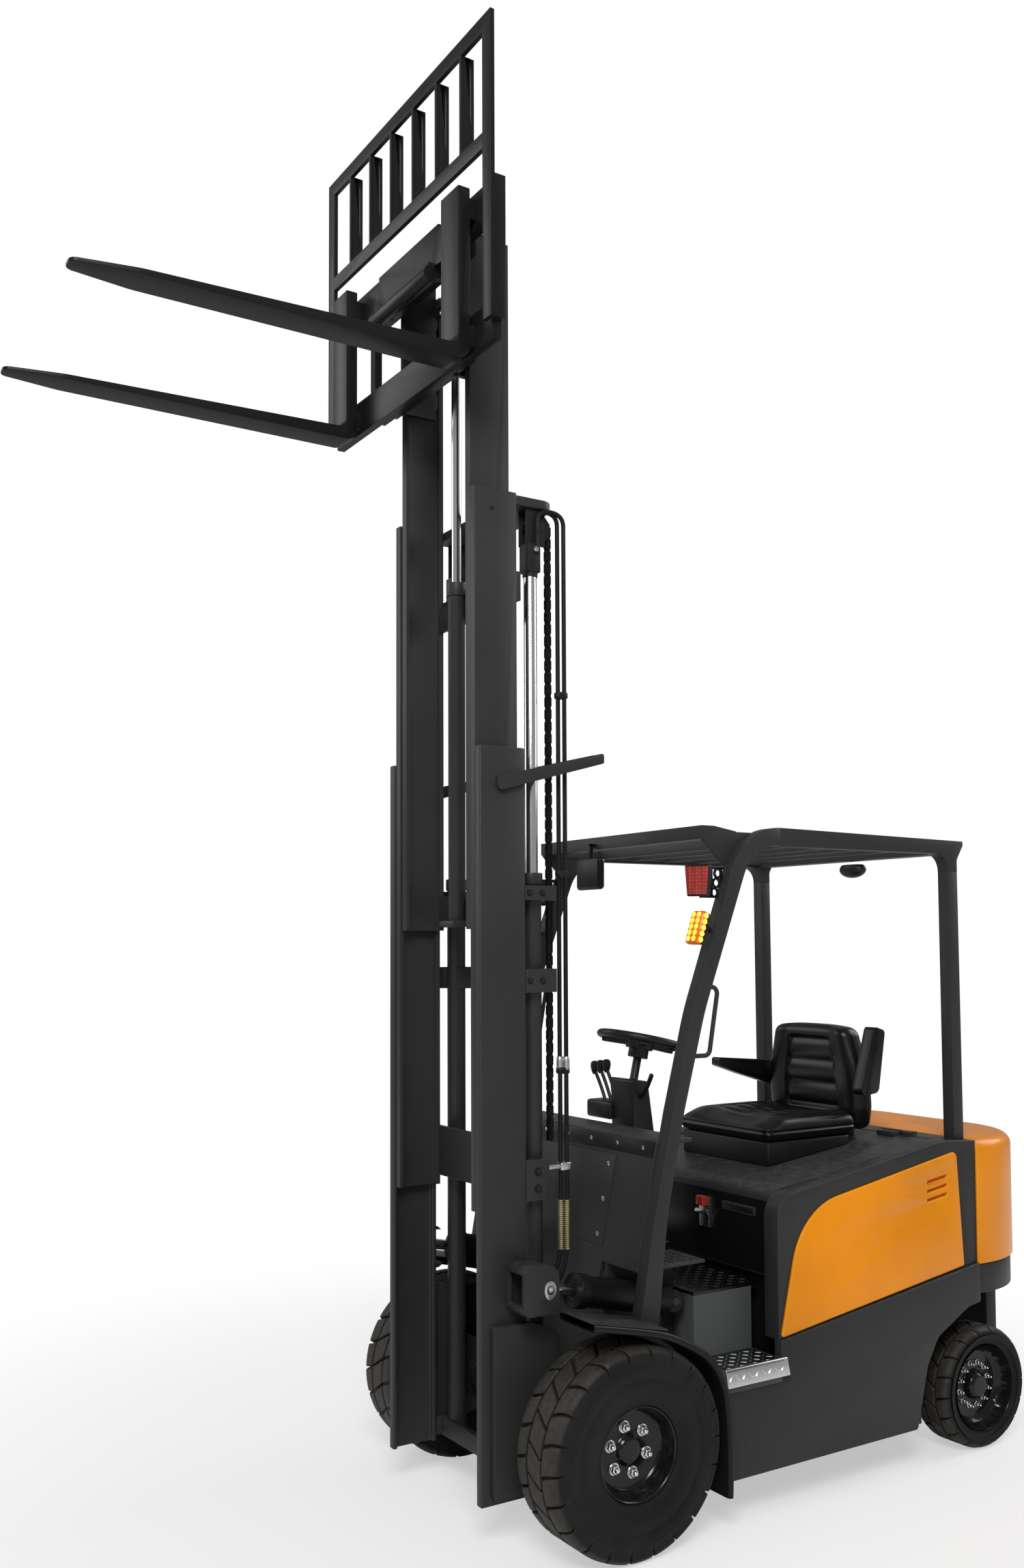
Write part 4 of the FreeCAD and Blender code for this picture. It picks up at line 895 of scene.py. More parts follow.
@dataclass
class LiftChain:
    """A leaf chain that runs up behind the mast and over its sheave, with the lift cylinder's head."""

    side: Side
    x: float = 0.222
    sheave_y: float = -0.2715
    sheave_z: float = 3.024
    sheave_radius: float = 0.034
    low_z: float = 1.14
    pitch: float = 0.019
    gauge: float = 0.0215
    rod_x: float = 0.232
    rod_y: float = -0.3015
    head: tuple[float, float] = (2.882, 2.972)
    plate_z: float = 3.0817

    def links(self) -> list[bpy.types.Object]:
        """All links of one strand, laid out along its way."""
        sign = self.side.value
        reach = self.sheave_radius + 0.006
        turns = int(math.pi * reach / self.pitch)
        count = int((self.sheave_z - self.low_z) / self.pitch)
        start = Vector((sign * self.x, self.sheave_y + reach, self.sheave_z))
        pieces = []
        for odd, plates in ((0, (-0.0075, -0.0005, 0.0065)), (1, (-0.0042, 0.003))):
            leaves = [self.leaf(start, offset) for offset in plates]
            if odd:
                leaves.append(Bench.turned("pin", start - Vector((0, 0, self.pitch / 2)), [(-0.0088, 0.0034), (0.0088, 0.0034)],
                                           steps=8))
            link = Bench.join("link", leaves)
            for i in range(odd, count, 2):
                pieces.append(Bench.twin(link, Matrix.Translation((0, 0, -self.pitch * i))))
            middle = Matrix.Translation((sign * self.x, self.sheave_y, self.sheave_z))
            for i in range(turns + 1):
                if i % 2 != odd:
                    turn = middle @ Matrix.Rotation((i + 0.6) * math.pi / (turns + 1), 4, "X") @ middle.inverted()
                    pieces.append(Bench.twin(link, turn))
            bpy.data.objects.remove(link)
        return pieces

    def leaf(self, start: Vector, offset: float) -> bpy.types.Object:
        """One leaf plate with round ends, its length up and down."""
        plate = Bench.turned("leaf", start + Vector((offset, 0, 0)), [(0, self.gauge / 2), (0.0014, self.gauge / 2)], steps=10)
        for corner in plate.data.vertices:
            up = corner.co.z - start.z
            corner.co.z += math.copysign(self.pitch * 0.36, up) if abs(up) > 0.0005 else 0.0
            if abs(up) < self.gauge * 0.2:
                corner.co.y = start.y + (corner.co.y - start.y) * 0.8
        return plate

    def build(self) -> list[bpy.types.Object]:
        """The chain, its sheave and the cylinder's head block."""
        sign = self.side.value
        chain = Bench.join("chain_" + self.side.word, self.links())
        Bench.dress(chain, "mast_mid", "chain_steel", "dark_steel")
        centre = (sign * self.x, self.sheave_y, self.sheave_z)
        r = self.sheave_radius
        wheel = Bench.turned("sheave", centre, [
            (-0.0155, 0.012), (-0.0155, r + 0.005), (-0.0125, r + 0.006), (-0.0105, r - 0.001), (0.0105, r - 0.001),
            (0.0125, r + 0.006), (0.0155, r + 0.005), (0.0155, 0.012)], steps=40)
        half = 0.026
        head = Bench.block("head", (sign * self.rod_x - half, self.rod_y - 0.024, self.head[0]),
                           (sign * self.rod_x + half, self.rod_y + 0.024, self.head[1]), 0.005)
        cheeks = [Bench.block("cheek", (sign * self.x + place - 0.0028, self.rod_y - 0.022, self.head[1] - 0.004),
                              (sign * self.x + place + 0.0028, self.sheave_y + 0.018, self.plate_z), 0.0012)
                  for place in (-0.0192, 0.0192)]
        pin = Bench.turned("sheave_pin", centre, [(-0.026, 0.011), (0.026, 0.011)], steps=20)
        collar = Bench.turned("collar", (sign * self.rod_x, self.rod_y, self.head[0]), [
            (-0.012, 0.023), (0.004, 0.024)], "Z", 28)
        block = Bench.join("lift_head_" + self.side.word, [wheel, head, pin, collar] + cheeks)
        Bench.dress(block, "mast_mid", "dark_steel")
        bolt = Bench.turned("bolt", (sign * (self.rod_x + half), self.rod_y + 0.004, self.head[1] - 0.02), [
            (0, 0.009), (sign * 0.006, 0.009), (sign * 0.0075, 0.0075)], steps=6)
        Bench.dress(bolt, "mast_mid", "bright_steel", "chrome_rod").name = "lift_head_bolt_" + self.side.word
        if self.side is Side.LEFT:
            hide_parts("lift_chains")
        return [chain, block]


@dataclass
class Hoses:
    """Hoses behind the chain that pass over their own pulley, and the lower hoses with their spring guard."""

    x: float = 0.247
    pitch: tuple[float, float] = (0.0105, 0.0165)
    y: float = -0.211
    low_z: float = 1.36
    high_z: float = 3.0
    radius: float = 0.0068
    arc: float = 0.04

    def build(self) -> bpy.types.Object:
        """Both hoses on both sides of the pulley."""
        pieces = []
        for k in range(2):
            x, y = self.x + k * self.pitch[0], self.y + k * self.pitch[1]
            front = y - 2 * self.arc - k * self.pitch[1]
            pieces.append(Bench.tube("hose", [
                (x, y, self.low_z), (x, y, 1.6), (x, y, 2.3), (x, y, self.high_z), (x, y, self.high_z + self.arc * 1.9),
                (x, front, self.high_z + self.arc * 1.9), (x, front, self.high_z), (x, front, self.high_z - 0.06)],
                self.radius, 3))
        low = []
        near = ((0.2806, -0.2326), (0.2906, -0.2168))
        for k, (x, y) in enumerate(near):
            low.append(Bench.tube("low_hose", [
                (x, y, 1.365), (x, y, 1.1), (x, y, 0.95), (x, y, 0.8), (x - 0.012, y - 0.03, 0.745 - 0.02 * k),
                (0.250, -0.270, 0.735 - 0.02 * k)], self.radius))
        Bench.dress(Bench.join("lower_hoses", low), "mast_outer", "hose_rubber")
        coils = []
        for x, y in near:
            for i in range(24):
                coils.append(Bench.turned("coil", (x, y, 0.83 + i * 0.0062), [
                    (0.0, 0.0082), (0.0012, 0.0094), (0.0036, 0.0094), (0.0048, 0.0082)], "Z", 14))
        Bench.dress(Bench.join("hose_springs", coils), "mast_outer", "brass", "dark_steel")
        clamp = Bench.block("hose_clamp", (0.270, -0.243, 1.065), (0.301, -0.206, 1.090), 0.005, 3)
        stay = Bench.block("hose_stay", (0.274, -0.292, 1.071), (0.287, -0.238, 1.083), 0.002)
        Bench.dress(Bench.join("hose_clamp", [clamp, stay]), "mast_outer", "zinc", "dark_steel")
        hoses = Bench.join("hoses_over_pulley", pieces)
        Bench.dress(hoses, "mast_mid", "hose_rubber")
        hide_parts("mast_hoses")
        ends = [Bench.turned("ferrule", (self.x + k * self.pitch[0], self.y + k * self.pitch[1], self.low_z), [
            (-0.004, 0.006), (0.0, 0.0095), (0.012, 0.0102), (0.014, 0.0094), (0.018, 0.0102), (0.04, 0.0098), (0.042, 0.0085)],
            "Z", 20) for k in range(2)]
        clips = []
        for z in (1.35, 1.95, 2.5):
            clips.append(Bench.block("clip", (self.x - 0.0095, self.y - 0.0095, z),
                                     (self.x + self.pitch[0] + 0.008, self.y + self.pitch[1] + 0.0095, z + 0.02), 0.004, 3))
        Bench.dress(Bench.join("hose_ferrules", ends), "mast_mid", "zinc", "dark_steel")
        Bench.dress(Bench.join("hose_clips", clips), "mast_mid", "black_plastic")
        return hoses


@dataclass
class SeatPads:
    """The seat's cushion and back: crowned vinyl pads with piped edges and sewn channels."""

    cuts: int = 46
    radius: float = 0.03
    groove: float = 0.0055
    groove_width: float = 0.006

    def shell(self, name: str, low: Vector, high: Vector, radius: float) -> bpy.types.Object:
        """A closed box with many faces and its edges rounded by a radius."""
        piece = Bench.block(name, tuple(low), tuple(high))
        Bench.alone(piece)
        bpy.ops.object.mode_set(mode="EDIT")
        bpy.ops.mesh.select_all(action="SELECT")
        bpy.ops.mesh.subdivide(number_cuts=self.cuts)
        bpy.ops.object.mode_set(mode="OBJECT")
        middle = (low + high) / 2
        half = (high - low) / 2
        for corner in piece.data.vertices:
            place = corner.co - middle
            core = Vector([max(-h + radius, min(h - radius, part)) for part, h in zip(place, half)])
            away = place - core
            if away.length > 0:
                corner.co = middle + core + away.normalized() * radius
        return piece

    @staticmethod
    def bell(distance: float, width: float) -> float:
        """1 on a line, falling to 0 a few widths away."""
        return math.exp(-(distance / width) ** 2)

    @staticmethod
    def ramp(value: float, low: float, high: float) -> float:
        """A smooth step from 0 to 1."""
        t = max(0.0, min(1.0, (value - low) / (high - low)))
        return t * t * (3 - 2 * t)

    def cushion(self) -> bpy.types.Object:
        """The seat cushion, higher at its sides, with sewn oblongs and a piped edge."""
        low, high = (Vector(corner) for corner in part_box("seat_cushion"))
        piece = self.shell("seat_cushion_pad", low, high, self.radius)
        middle = (low + high) / 2
        half = (high - low) / 2
        lines = [-0.42, -0.12, 0.18, 0.48]
        for corner in piece.data.vertices:
            a = (corner.co.x - middle.x) / half.x
            b = (corner.co.y - middle.y) / half.y
            up = self.ramp(corner.co.z, middle.z + 0.006, high.z - 0.004)
            crown = 0.009 * (1 - abs(a) ** 3.0) * (1 - abs(b) ** 3.0) + 0.010 * math.exp(-((abs(a) - 0.72) / 0.2) ** 2)
            crown -= 0.022 * self.ramp(-b, 0.55, 1.0) + 0.006 * math.exp(-(a / 0.35) ** 2)
            seam = 0.0
            inside = self.ramp(0.62 - abs(a), 0.0, 0.03)
            for line in lines:
                seam = max(seam, self.bell((b - line) * half.y, self.groove_width) * inside)
            run = self.ramp(b, lines[0] - 0.03, lines[0]) * self.ramp(-b, -lines[-1] - 0.03, -lines[-1])
            for line in (-0.6, 0.0, 0.6):
                seam = max(seam, self.bell((a - line) * half.x, self.groove_width) * run)
            tuft = 0.004 * abs(math.sin((b + 0.42) * math.pi / 0.3)) * abs(math.sin(a * math.pi / 0.6)) * inside * run
            corner.co.z += up * (crown - self.groove * seam + tuft)
            belt = self.bell(corner.co.z - (low.z + 0.026), 0.004)
            out = Vector((corner.co.x - middle.x, corner.co.y - middle.y, 0.0)).normalized()
            edge = self.ramp(max(abs(a), abs(b)), 0.9, 0.99)
            corner.co += out * (0.0022 * belt - 0.003 * self.bell(corner.co.z - (low.z + 0.035), 0.004)) * edge
        Bench.modify(piece, "SUBSURF", levels=1, render_levels=1)
        return piece

    def back(self) -> bpy.types.Object:
        """The back rest: side bolsters, a recessed middle of three rolls, and a narrower round top."""
        low, high = (Vector(corner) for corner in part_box("seat_back"))
        low.z += 0.035
        low.y += 0.012
        high.y -= 0.02
        piece = self.shell("seat_back_pad", low, high, 0.034)
        middle = (low + high) / 2
        half = (high - low) / 2
        bottom, top = 0.2, 0.86
        for corner in piece.data.vertices:
            a = (corner.co.x - middle.x) / half.x
            t = (corner.co.z - low.z) / (high.z - low.z)
            front = self.ramp(-(corner.co.y - middle.y) / half.y, 0.1, 0.85)
            width = 0.55 - 0.06 * t
            panel = self.ramp(width - abs(a), -0.02, 0.02) * self.ramp(t, bottom - 0.02, bottom) * self.ramp(-t, -top - 0.02, -top)
            roll = abs(math.sin((t - bottom) / (top - bottom) * math.pi * 3.0)) ** 0.6
            push = panel * (0.016 - 0.012 * roll) - 0.010 * math.exp(-((abs(a) - 0.78) / 0.16) ** 2) * self.ramp(t, 0.0, 0.15)
            seam = self.bell((abs(a) - width) * half.x, 0.005) * self.ramp(t, bottom - 0.02, bottom) * self.ramp(-t, -top - 0.02, -top)
            seam = max(seam, self.bell((t - top) * 2 * half.z, 0.005) * self.ramp(width - abs(a), 0.0, 0.02))
            seam = max(seam, self.bell((t - bottom) * 2 * half.z, 0.005) * self.ramp(width - abs(a), 0.0, 0.02))
            corner.co.y += front * (push + 0.005 * seam)
            corner.co.x = middle.x + (corner.co.x - middle.x) * (1 - 0.2 * self.ramp(t, 0.42, 1.02) - 0.06 * self.ramp(-t, -0.25, 0.0))
            corner.co.z -= 0.012 * abs(a) ** 3 * self.ramp(t, 0.8, 1.0)
            corner.co.y += 0.012 * (1 - t) - 0.010 * t
        Bench.modify(piece, "SUBSURF", levels=1, render_levels=1)
        return piece

    def build(self) -> list[bpy.types.Object]:
        """Both pads and the shell behind the back."""
        cushion = Bench.dress(self.cushion(), "hood", "seat_vinyl", "seat_vinyl", 60)
        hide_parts("seat_cushion")
        back = Bench.dress(self.back(), "hood", "seat_vinyl", "seat_vinyl", 60)
        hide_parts("seat_back")
        low, high = (Vector(corner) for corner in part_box("seat_back"))
        shell = Bench.block("seat_back_shell", (-0.19, high.y - 0.036, low.z + 0.05), (0.19, high.y - 0.008, high.z - 0.06),
                            0.012, 3)
        for corner in shell.data.vertices:
            t = (corner.co.z - low.z) / (high.z - low.z)
            corner.co.x *= 1 - 0.2 * self.ramp(t, 0.42, 1.02)
            corner.co.y += 0.008 * (1 - t) - 0.012 * t
        foot = Bench.block("seat_back_foot", (-0.15, high.y - 0.075, low.z - 0.03), (0.15, high.y - 0.03, low.z + 0.09), 0.006)
        Bench.dress(Bench.join("seat_back_shell", [shell, foot]), "hood", "black_plastic")
        return [cushion, back]


@dataclass
class Chequer:
    """Raised lozenges on the step's tread and edge, and on the operator's floor."""

    pitch: float = 0.026
    height: float = 0.0026
    length: float = 0.024
    width: float = 0.0075

    def lozenge(self, turn: float) -> bpy.types.Object:
        """One raised lozenge on the ground at the origin."""
        piece = Bench.turned("lozenge", (0, 0, 0), [(-0.0008, 0.5), (self.height * 0.4, 0.5), (self.height, 0.3)], "Z", 6)
        for corner in piece.data.vertices:
            corner.co.x *= self.length
            corner.co.y *= self.width
        piece.data.transform(Matrix.Rotation(math.radians(turn), 4, "Z"))
        return piece

    def field(self, name: str, origin: Vector, along: Vector, across: Vector, size: tuple[float, float]) -> bpy.types.Object:
        """Lozenges over an oblong, each row turned against the next.

        Args:
            name: The piece's name.
            origin: The oblong's corner.
            along: The unit vector of its first side.
            across: The unit vector of its second side.
            size: Its two lengths.

        Returns:
            The joined lozenges.
        """
        normal = along.cross(across)
        frame = Matrix((along, across, normal)).transposed().to_4x4()
        columns, rows = (max(1, int(side / self.pitch)) for side in size)
        margin = [(side - (count - 1) * self.pitch) / 2 for side, count in zip(size, (columns, rows))]
        masters = [self.lozenge(45), self.lozenge(-45)]
        pieces = []
        for i in range(columns):
            for j in range(rows):
                place = origin + along * (margin[0] + i * self.pitch) + across * (margin[1] + j * self.pitch)
                pieces.append(Bench.twin(masters[(i + j) % 2], Matrix.Translation(place) @ frame))
        for master in masters:
            bpy.data.objects.remove(master)
        return Bench.join(name, pieces)

    def build(self) -> list[bpy.types.Object]:
        """The lozenges of both steps and of the floor."""
        pieces = []
        low, high = (Vector(corner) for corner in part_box("step_nosings"))
        tread_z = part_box("steps")[1]
        step_top = 0.465
        edge = []
        top = []
        for side in Side:
            sign = side.value
            start = Vector((sign * (high.x - 0.0005), low.y if sign > 0 else high.y, high.z - 0.046))
            lean = Vector((-sign * 0.225, 0, 0.974))
            edge.append(self.field("edge", start, Vector((0, sign, 0)), lean, (high.y - low.y - 0.01, 0.04)))
            corner = Vector((0.402 if sign > 0 else -0.555, low.y + 0.014, step_top))
            top.append(self.field("top", corner, Vector((1, 0, 0)), Vector((0, 1, 0)), (0.153, high.y - low.y - 0.034)))
        nosing = Bench.block("nosing", (low.z * 0 + 0.555, low.y, high.z - 0.052), (high.x, high.y, high.z), 0.008, 3)
        lip = Bench.block("lip", (0.548, low.y + 0.002, high.z - 0.006), (high.x - 0.004, high.y - 0.002, high.z), 0.002)
        nosing = Bench.join("nosings", Bench.mirrored([nosing, lip]))
        for corner in nosing.data.vertices:
            if abs(corner.co.x) > high.x - 0.012:
                corner.co.x -= math.copysign(0.012 * (corner.co.z - (high.z - 0.052)) / 0.052, corner.co.x)
        Bench.dress(nosing, "chassis", "tread_plate")
        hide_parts("step_nosings")
        sheets = Bench.block("sheet", (0.4, low.y + 0.004, step_top - 0.001), (0.556, high.y - 0.022, step_top + 0.0008))
        sheets = Bench.join("step_sheets", Bench.mirrored([sheets]))
        pieces.append(Bench.dress(sheets, "chassis", "step_steel", "tread_plate"))
        pieces.append(Bench.dress(Bench.join("nosing_lozenges", edge), "chassis", "tread_plate"))
        pieces.append(Bench.dress(Bench.join("step_lozenges", top), "chassis", "tread_plate"))
        low, high = (Vector(corner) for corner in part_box("floor_plate"))
        floor = [self.field("wide", Vector((-0.39, 0.19, 0.668)), Vector((1, 0, 0)), Vector((0, 1, 0)), (0.78, 0.25)),
                 self.field("narrow", Vector((-0.28, -0.06, 0.668)), Vector((1, 0, 0)), Vector((0, 1, 0)), (0.56, 0.22))]
        for x in (0.302, -0.453):
            floor.append(self.field("cover", Vector((x, -0.06, 0.782)), Vector((1, 0, 0)), Vector((0, 1, 0)), (0.151, 0.225)))
        pieces.append(Bench.dress(Bench.join("floor_lozenges", floor), "chassis", "dark_plate", "black_paint"))
        return pieces


@dataclass
class Fasteners:
    """Hexagon bolts with washers, pin keepers, and black discs that paint the shade of holes, set where the photograph
    shows them.
    """

    size: float = 0.008

    def bolt(self, place: Point, axis: str, sign: int, size: float = 0.0) -> bpy.types.Object:
        """One bolt head that stands off a face along an axis."""
        r = size or self.size
        washer = Bench.turned("washer", place, [(0, r * 1.35), (sign * 0.0018, r * 1.35)], axis, 20)
        head = Bench.turned("head", place, [
            (0, r), (sign * (0.0018 + r * 0.6), r), (sign * (0.0018 + r * 0.75), r * 0.84)], axis, 6)
        return Bench.join("bolt", [washer, head])

    def build(self) -> list[bpy.types.Object]:
        """All bolts of the truck, one piece for each body."""
        pieces = []
        clamp = []
        for z in (1.898, 1.635, 1.02, 1.07):
            for y in (-0.345, -0.30) if z > 1.5 else (-0.32,):
                clamp.append(self.bolt((0.291, y, z), "X", 1, 0.0075) if z > 1.5 else self.bolt((0.291, y, z), "X", 1, 0.0095))
        pieces.append(Bench.dress(Bench.join("mast_bolts", Bench.mirrored(clamp)), "mast_outer", "dark_steel"))
        keeper = Bench.turned("keeper", (0.4025, -0.3525, 0.752), [(0, 0.02), (0.003, 0.02), (0.004, 0.0185)], "X", 32)
        for corner in keeper.data.vertices:
            corner.co.z = 0.752 + (corner.co.z - 0.752) * (1.55 if corner.co.z < 0.752 else 1.15)
        keeper_bolt = self.bolt((0.4062, -0.3525, 0.752), "X", 1, 0.006)
        keepers = Bench.mirrored([keeper, keeper_bolt])
        pieces.append(Bench.dress(Bench.join("pin_keepers", keepers), "mast_outer", "zinc", "chrome_rod"))
        # black discs on the mid rails where there are holes: painted shade in place of open holes
        hole_shade_discs = [Bench.turned("hole", (0.2565, -0.452, 3.055), [(-0.002, 0.0065), (0.0006, 0.0065)], "X", 20)]
        pieces.append(Bench.dress(Bench.join("mid_mast_holes", Bench.mirrored(hole_shade_discs)), "mast_mid", "black_plastic"))
        return pieces


@dataclass
class Dash:
    """The dash's riveted strip, its centre plate with bolts, and the stop button on its top."""

    foot: tuple[float, float] = (-0.1095, 0.64)
    head: tuple[float, float] = (-0.0035, 1.153)
    half: float = 0.452

    def on(self, height: float, off: float = 0.0) -> tuple[float, float]:
        """Y and Z on the sloping face at a height, moved off it."""
        t = (height - self.foot[1]) / (self.head[1] - self.foot[1])
        y = self.foot[0] + (self.head[0] - self.foot[0]) * t
        length = math.hypot(self.head[0] - self.foot[0], self.head[1] - self.foot[1])
        return (y - off * (self.head[1] - self.foot[1]) / length, height + off * (self.head[0] - self.foot[0]) / length)

    def slab(self, name: str, low: tuple[float, float], high: tuple[float, float], thick: float, rounding: float) -> bpy.types.Object:
        """A plate on the sloping face.

        Args:
            name: The piece's name.
            low: Its lower corner, as X and height.
            high: Its upper corner.
            thick: Its thickness.
            rounding: The radius of its edges.

        Returns:
            The plate.
        """
        piece = Bench.block(name, (low[0], 0, low[1]), (high[0], thick, high[1]), rounding)
        for corner in piece.data.vertices:
            y, z = self.on(corner.co.z, thick - corner.co.y)
            corner.co = Vector((corner.co.x, y, z))
        return piece

    def build(self) -> list[bpy.types.Object]:
        """Strip, plate, rivets, bolts and button."""
        strip = Bench.dress(self.slab("dash_strip", (-self.half, 1.105), (self.half, 1.15), 0.004, 0.0012), "chassis",
                            "black_plastic")
        plate = Bench.dress(self.slab("dash_plate", (-0.27, 0.82), (0.27, 1.09), 0.003, 0.001), "chassis", "grey_paint")
        rivets = []
        for x in (-0.40, -0.27, -0.13, 0.0, 0.13, 0.27, 0.40):
            y, z = self.on(1.127, 0.004)
            rivets.append(Bench.turned("rivet", (x, y, z), [(0.002, 0.0065), (-0.001, 0.0065), (-0.0028, 0.004)], "Y", 16))
        for x in (-0.24, 0.24):
            for height in (0.85, 0.955, 1.06):
                y, z = self.on(height, 0.003)
                rivets.append(Bench.turned("screw", (x, y, z), [(0.002, 0.008), (-0.0018, 0.008), (-0.004, 0.005)], "Y", 16))
        Bench.dress(Bench.join("dash_rivets", rivets), "chassis", "bright_steel", "chrome_rod")
        base = Bench.turned("button_base", (-0.36, 0.03, 1.153), [(0, 0.03), (0.012, 0.03), (0.016, 0.026)], "Z", 28)
        Bench.dress(base, "chassis", "yellow_plastic", "red_plastic").name = "stop_button_base"
        cap = Bench.turned("stop_button", (-0.36, 0.03, 1.169), [
            (0, 0.013), (0.014, 0.014), (0.018, 0.023), (0.026, 0.024), (0.031, 0.018)], "Z", 28)
        Bench.dress(cap, "chassis", "red_plastic")
        return [strip, plate]


@dataclass
class Fenders:
    """The black rubber fenders that sweep over the drive tyres, with the grey plate on their front."""

    line: tuple[tuple[float, float], ...] = (
        (-0.3325, 0.680), (-0.1875, 0.650), (-0.0465, 0.614), (0.1325, 0.505), (0.1665, 0.300), (0.1585, 0.114))
    middle_x: float = 0.507
    half: float = 0.076
    thick: float = 0.011

    def ribbon(self) -> bpy.types.Object:
        """A round-edged strip that follows the line."""
        data = bpy.data.curves.new("ribbon", "CURVE")
        data.dimensions = "2D"
        data.fill_mode = "NONE"
        data.extrude = self.half
        data.bevel_depth = self.thick
        data.bevel_resolution = 4
        spline = data.splines.new("NURBS")
        spline.points.add(len(self.line) - 1)
        for corner, (y, z) in zip(spline.points, self.line):
            corner.co = (y, z, 0.0, 1.0)
        spline.order_u = 3
        spline.use_endpoint_u = True
        spline.resolution_u = 12
        piece = bpy.data.objects.new("ribbon", data)
        bpy.context.scene.collection.objects.link(piece)
        Bench.alone(piece)
        bpy.ops.object.convert(target="MESH")
        piece = bpy.context.active_object
        turn = Matrix(((0, 0, 1, self.middle_x), (1, 0, 0, 0), (0, 1, 0, 0), (0, 0, 0, 1)))
        piece.data.transform(turn)
        return piece

    def build(self) -> bpy.types.Object:
        """Both strips and both plates."""
        strips = Bench.join("fender_sweeps", Bench.mirrored([self.ribbon()]))
        Bench.dress(strips, "chassis", "black_paint")
        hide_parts("fenders")
        plate = Bench.block("plate", (0.425, -0.3385, 0.0), (0.59, -0.07, 0.006), 0.0025)
        for corner in plate.data.vertices:
            t = (corner.co.y + 0.3385) / 0.2685
            corner.co.z += 0.6925 - 0.055 * t - 0.004 * t * t
        plates = Bench.join("fender_plates", Bench.mirrored([plate]))
        Bench.dress(plates, "chassis", "grey_paint")
        return strips


@dataclass
class HoodFront:
    """The hood's black front sheet with its finger slot."""

    def build(self) -> bpy.types.Object:
        """The sheet and the slot's raised rim."""
        low, high = (Vector(corner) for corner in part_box("hood"))
        sheet = Bench.block("hood_front_sheet", (low.x + 0.004, low.y - 0.0015, low.z + 0.004),
                            (high.x - 0.004, low.y + 0.004, 0.925), 0.0012)
        Bench.dress(sheet, "hood", "black_gloss", "black_paint")
        rim = Bench.block("slot_rim", (0.225, low.y - 0.006, 0.868), (0.385, low.y + 0.002, 0.898), 0.003, 3)
        Bench.dress(rim, "hood", "grey_paint").name = "hood_slot_rim"
        low, high = (Vector(corner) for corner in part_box("hood_latch"))
        handle = Bench.block("latch_handle", (low.x + 0.014, low.y - 0.008, high.z - 0.03), (high.x - 0.014, low.y + 0.012,
                                                                                          high.z + 0.004), 0.005, 3)
        Bench.dress(handle, "hood", "red_plastic")
        low, high = (Vector(corner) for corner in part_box("hood"))
        # a flat black block over the rim's middle: painted shade where the finger slot opens into the hood
        slot = Bench.block("hood_slot", (0.233, low.y - 0.0068, 0.874), (0.377, low.y + 0.002, 0.892), 0.002)
        Bench.dress(slot, "hood", "black_plastic", "black_plastic")
        return sheet


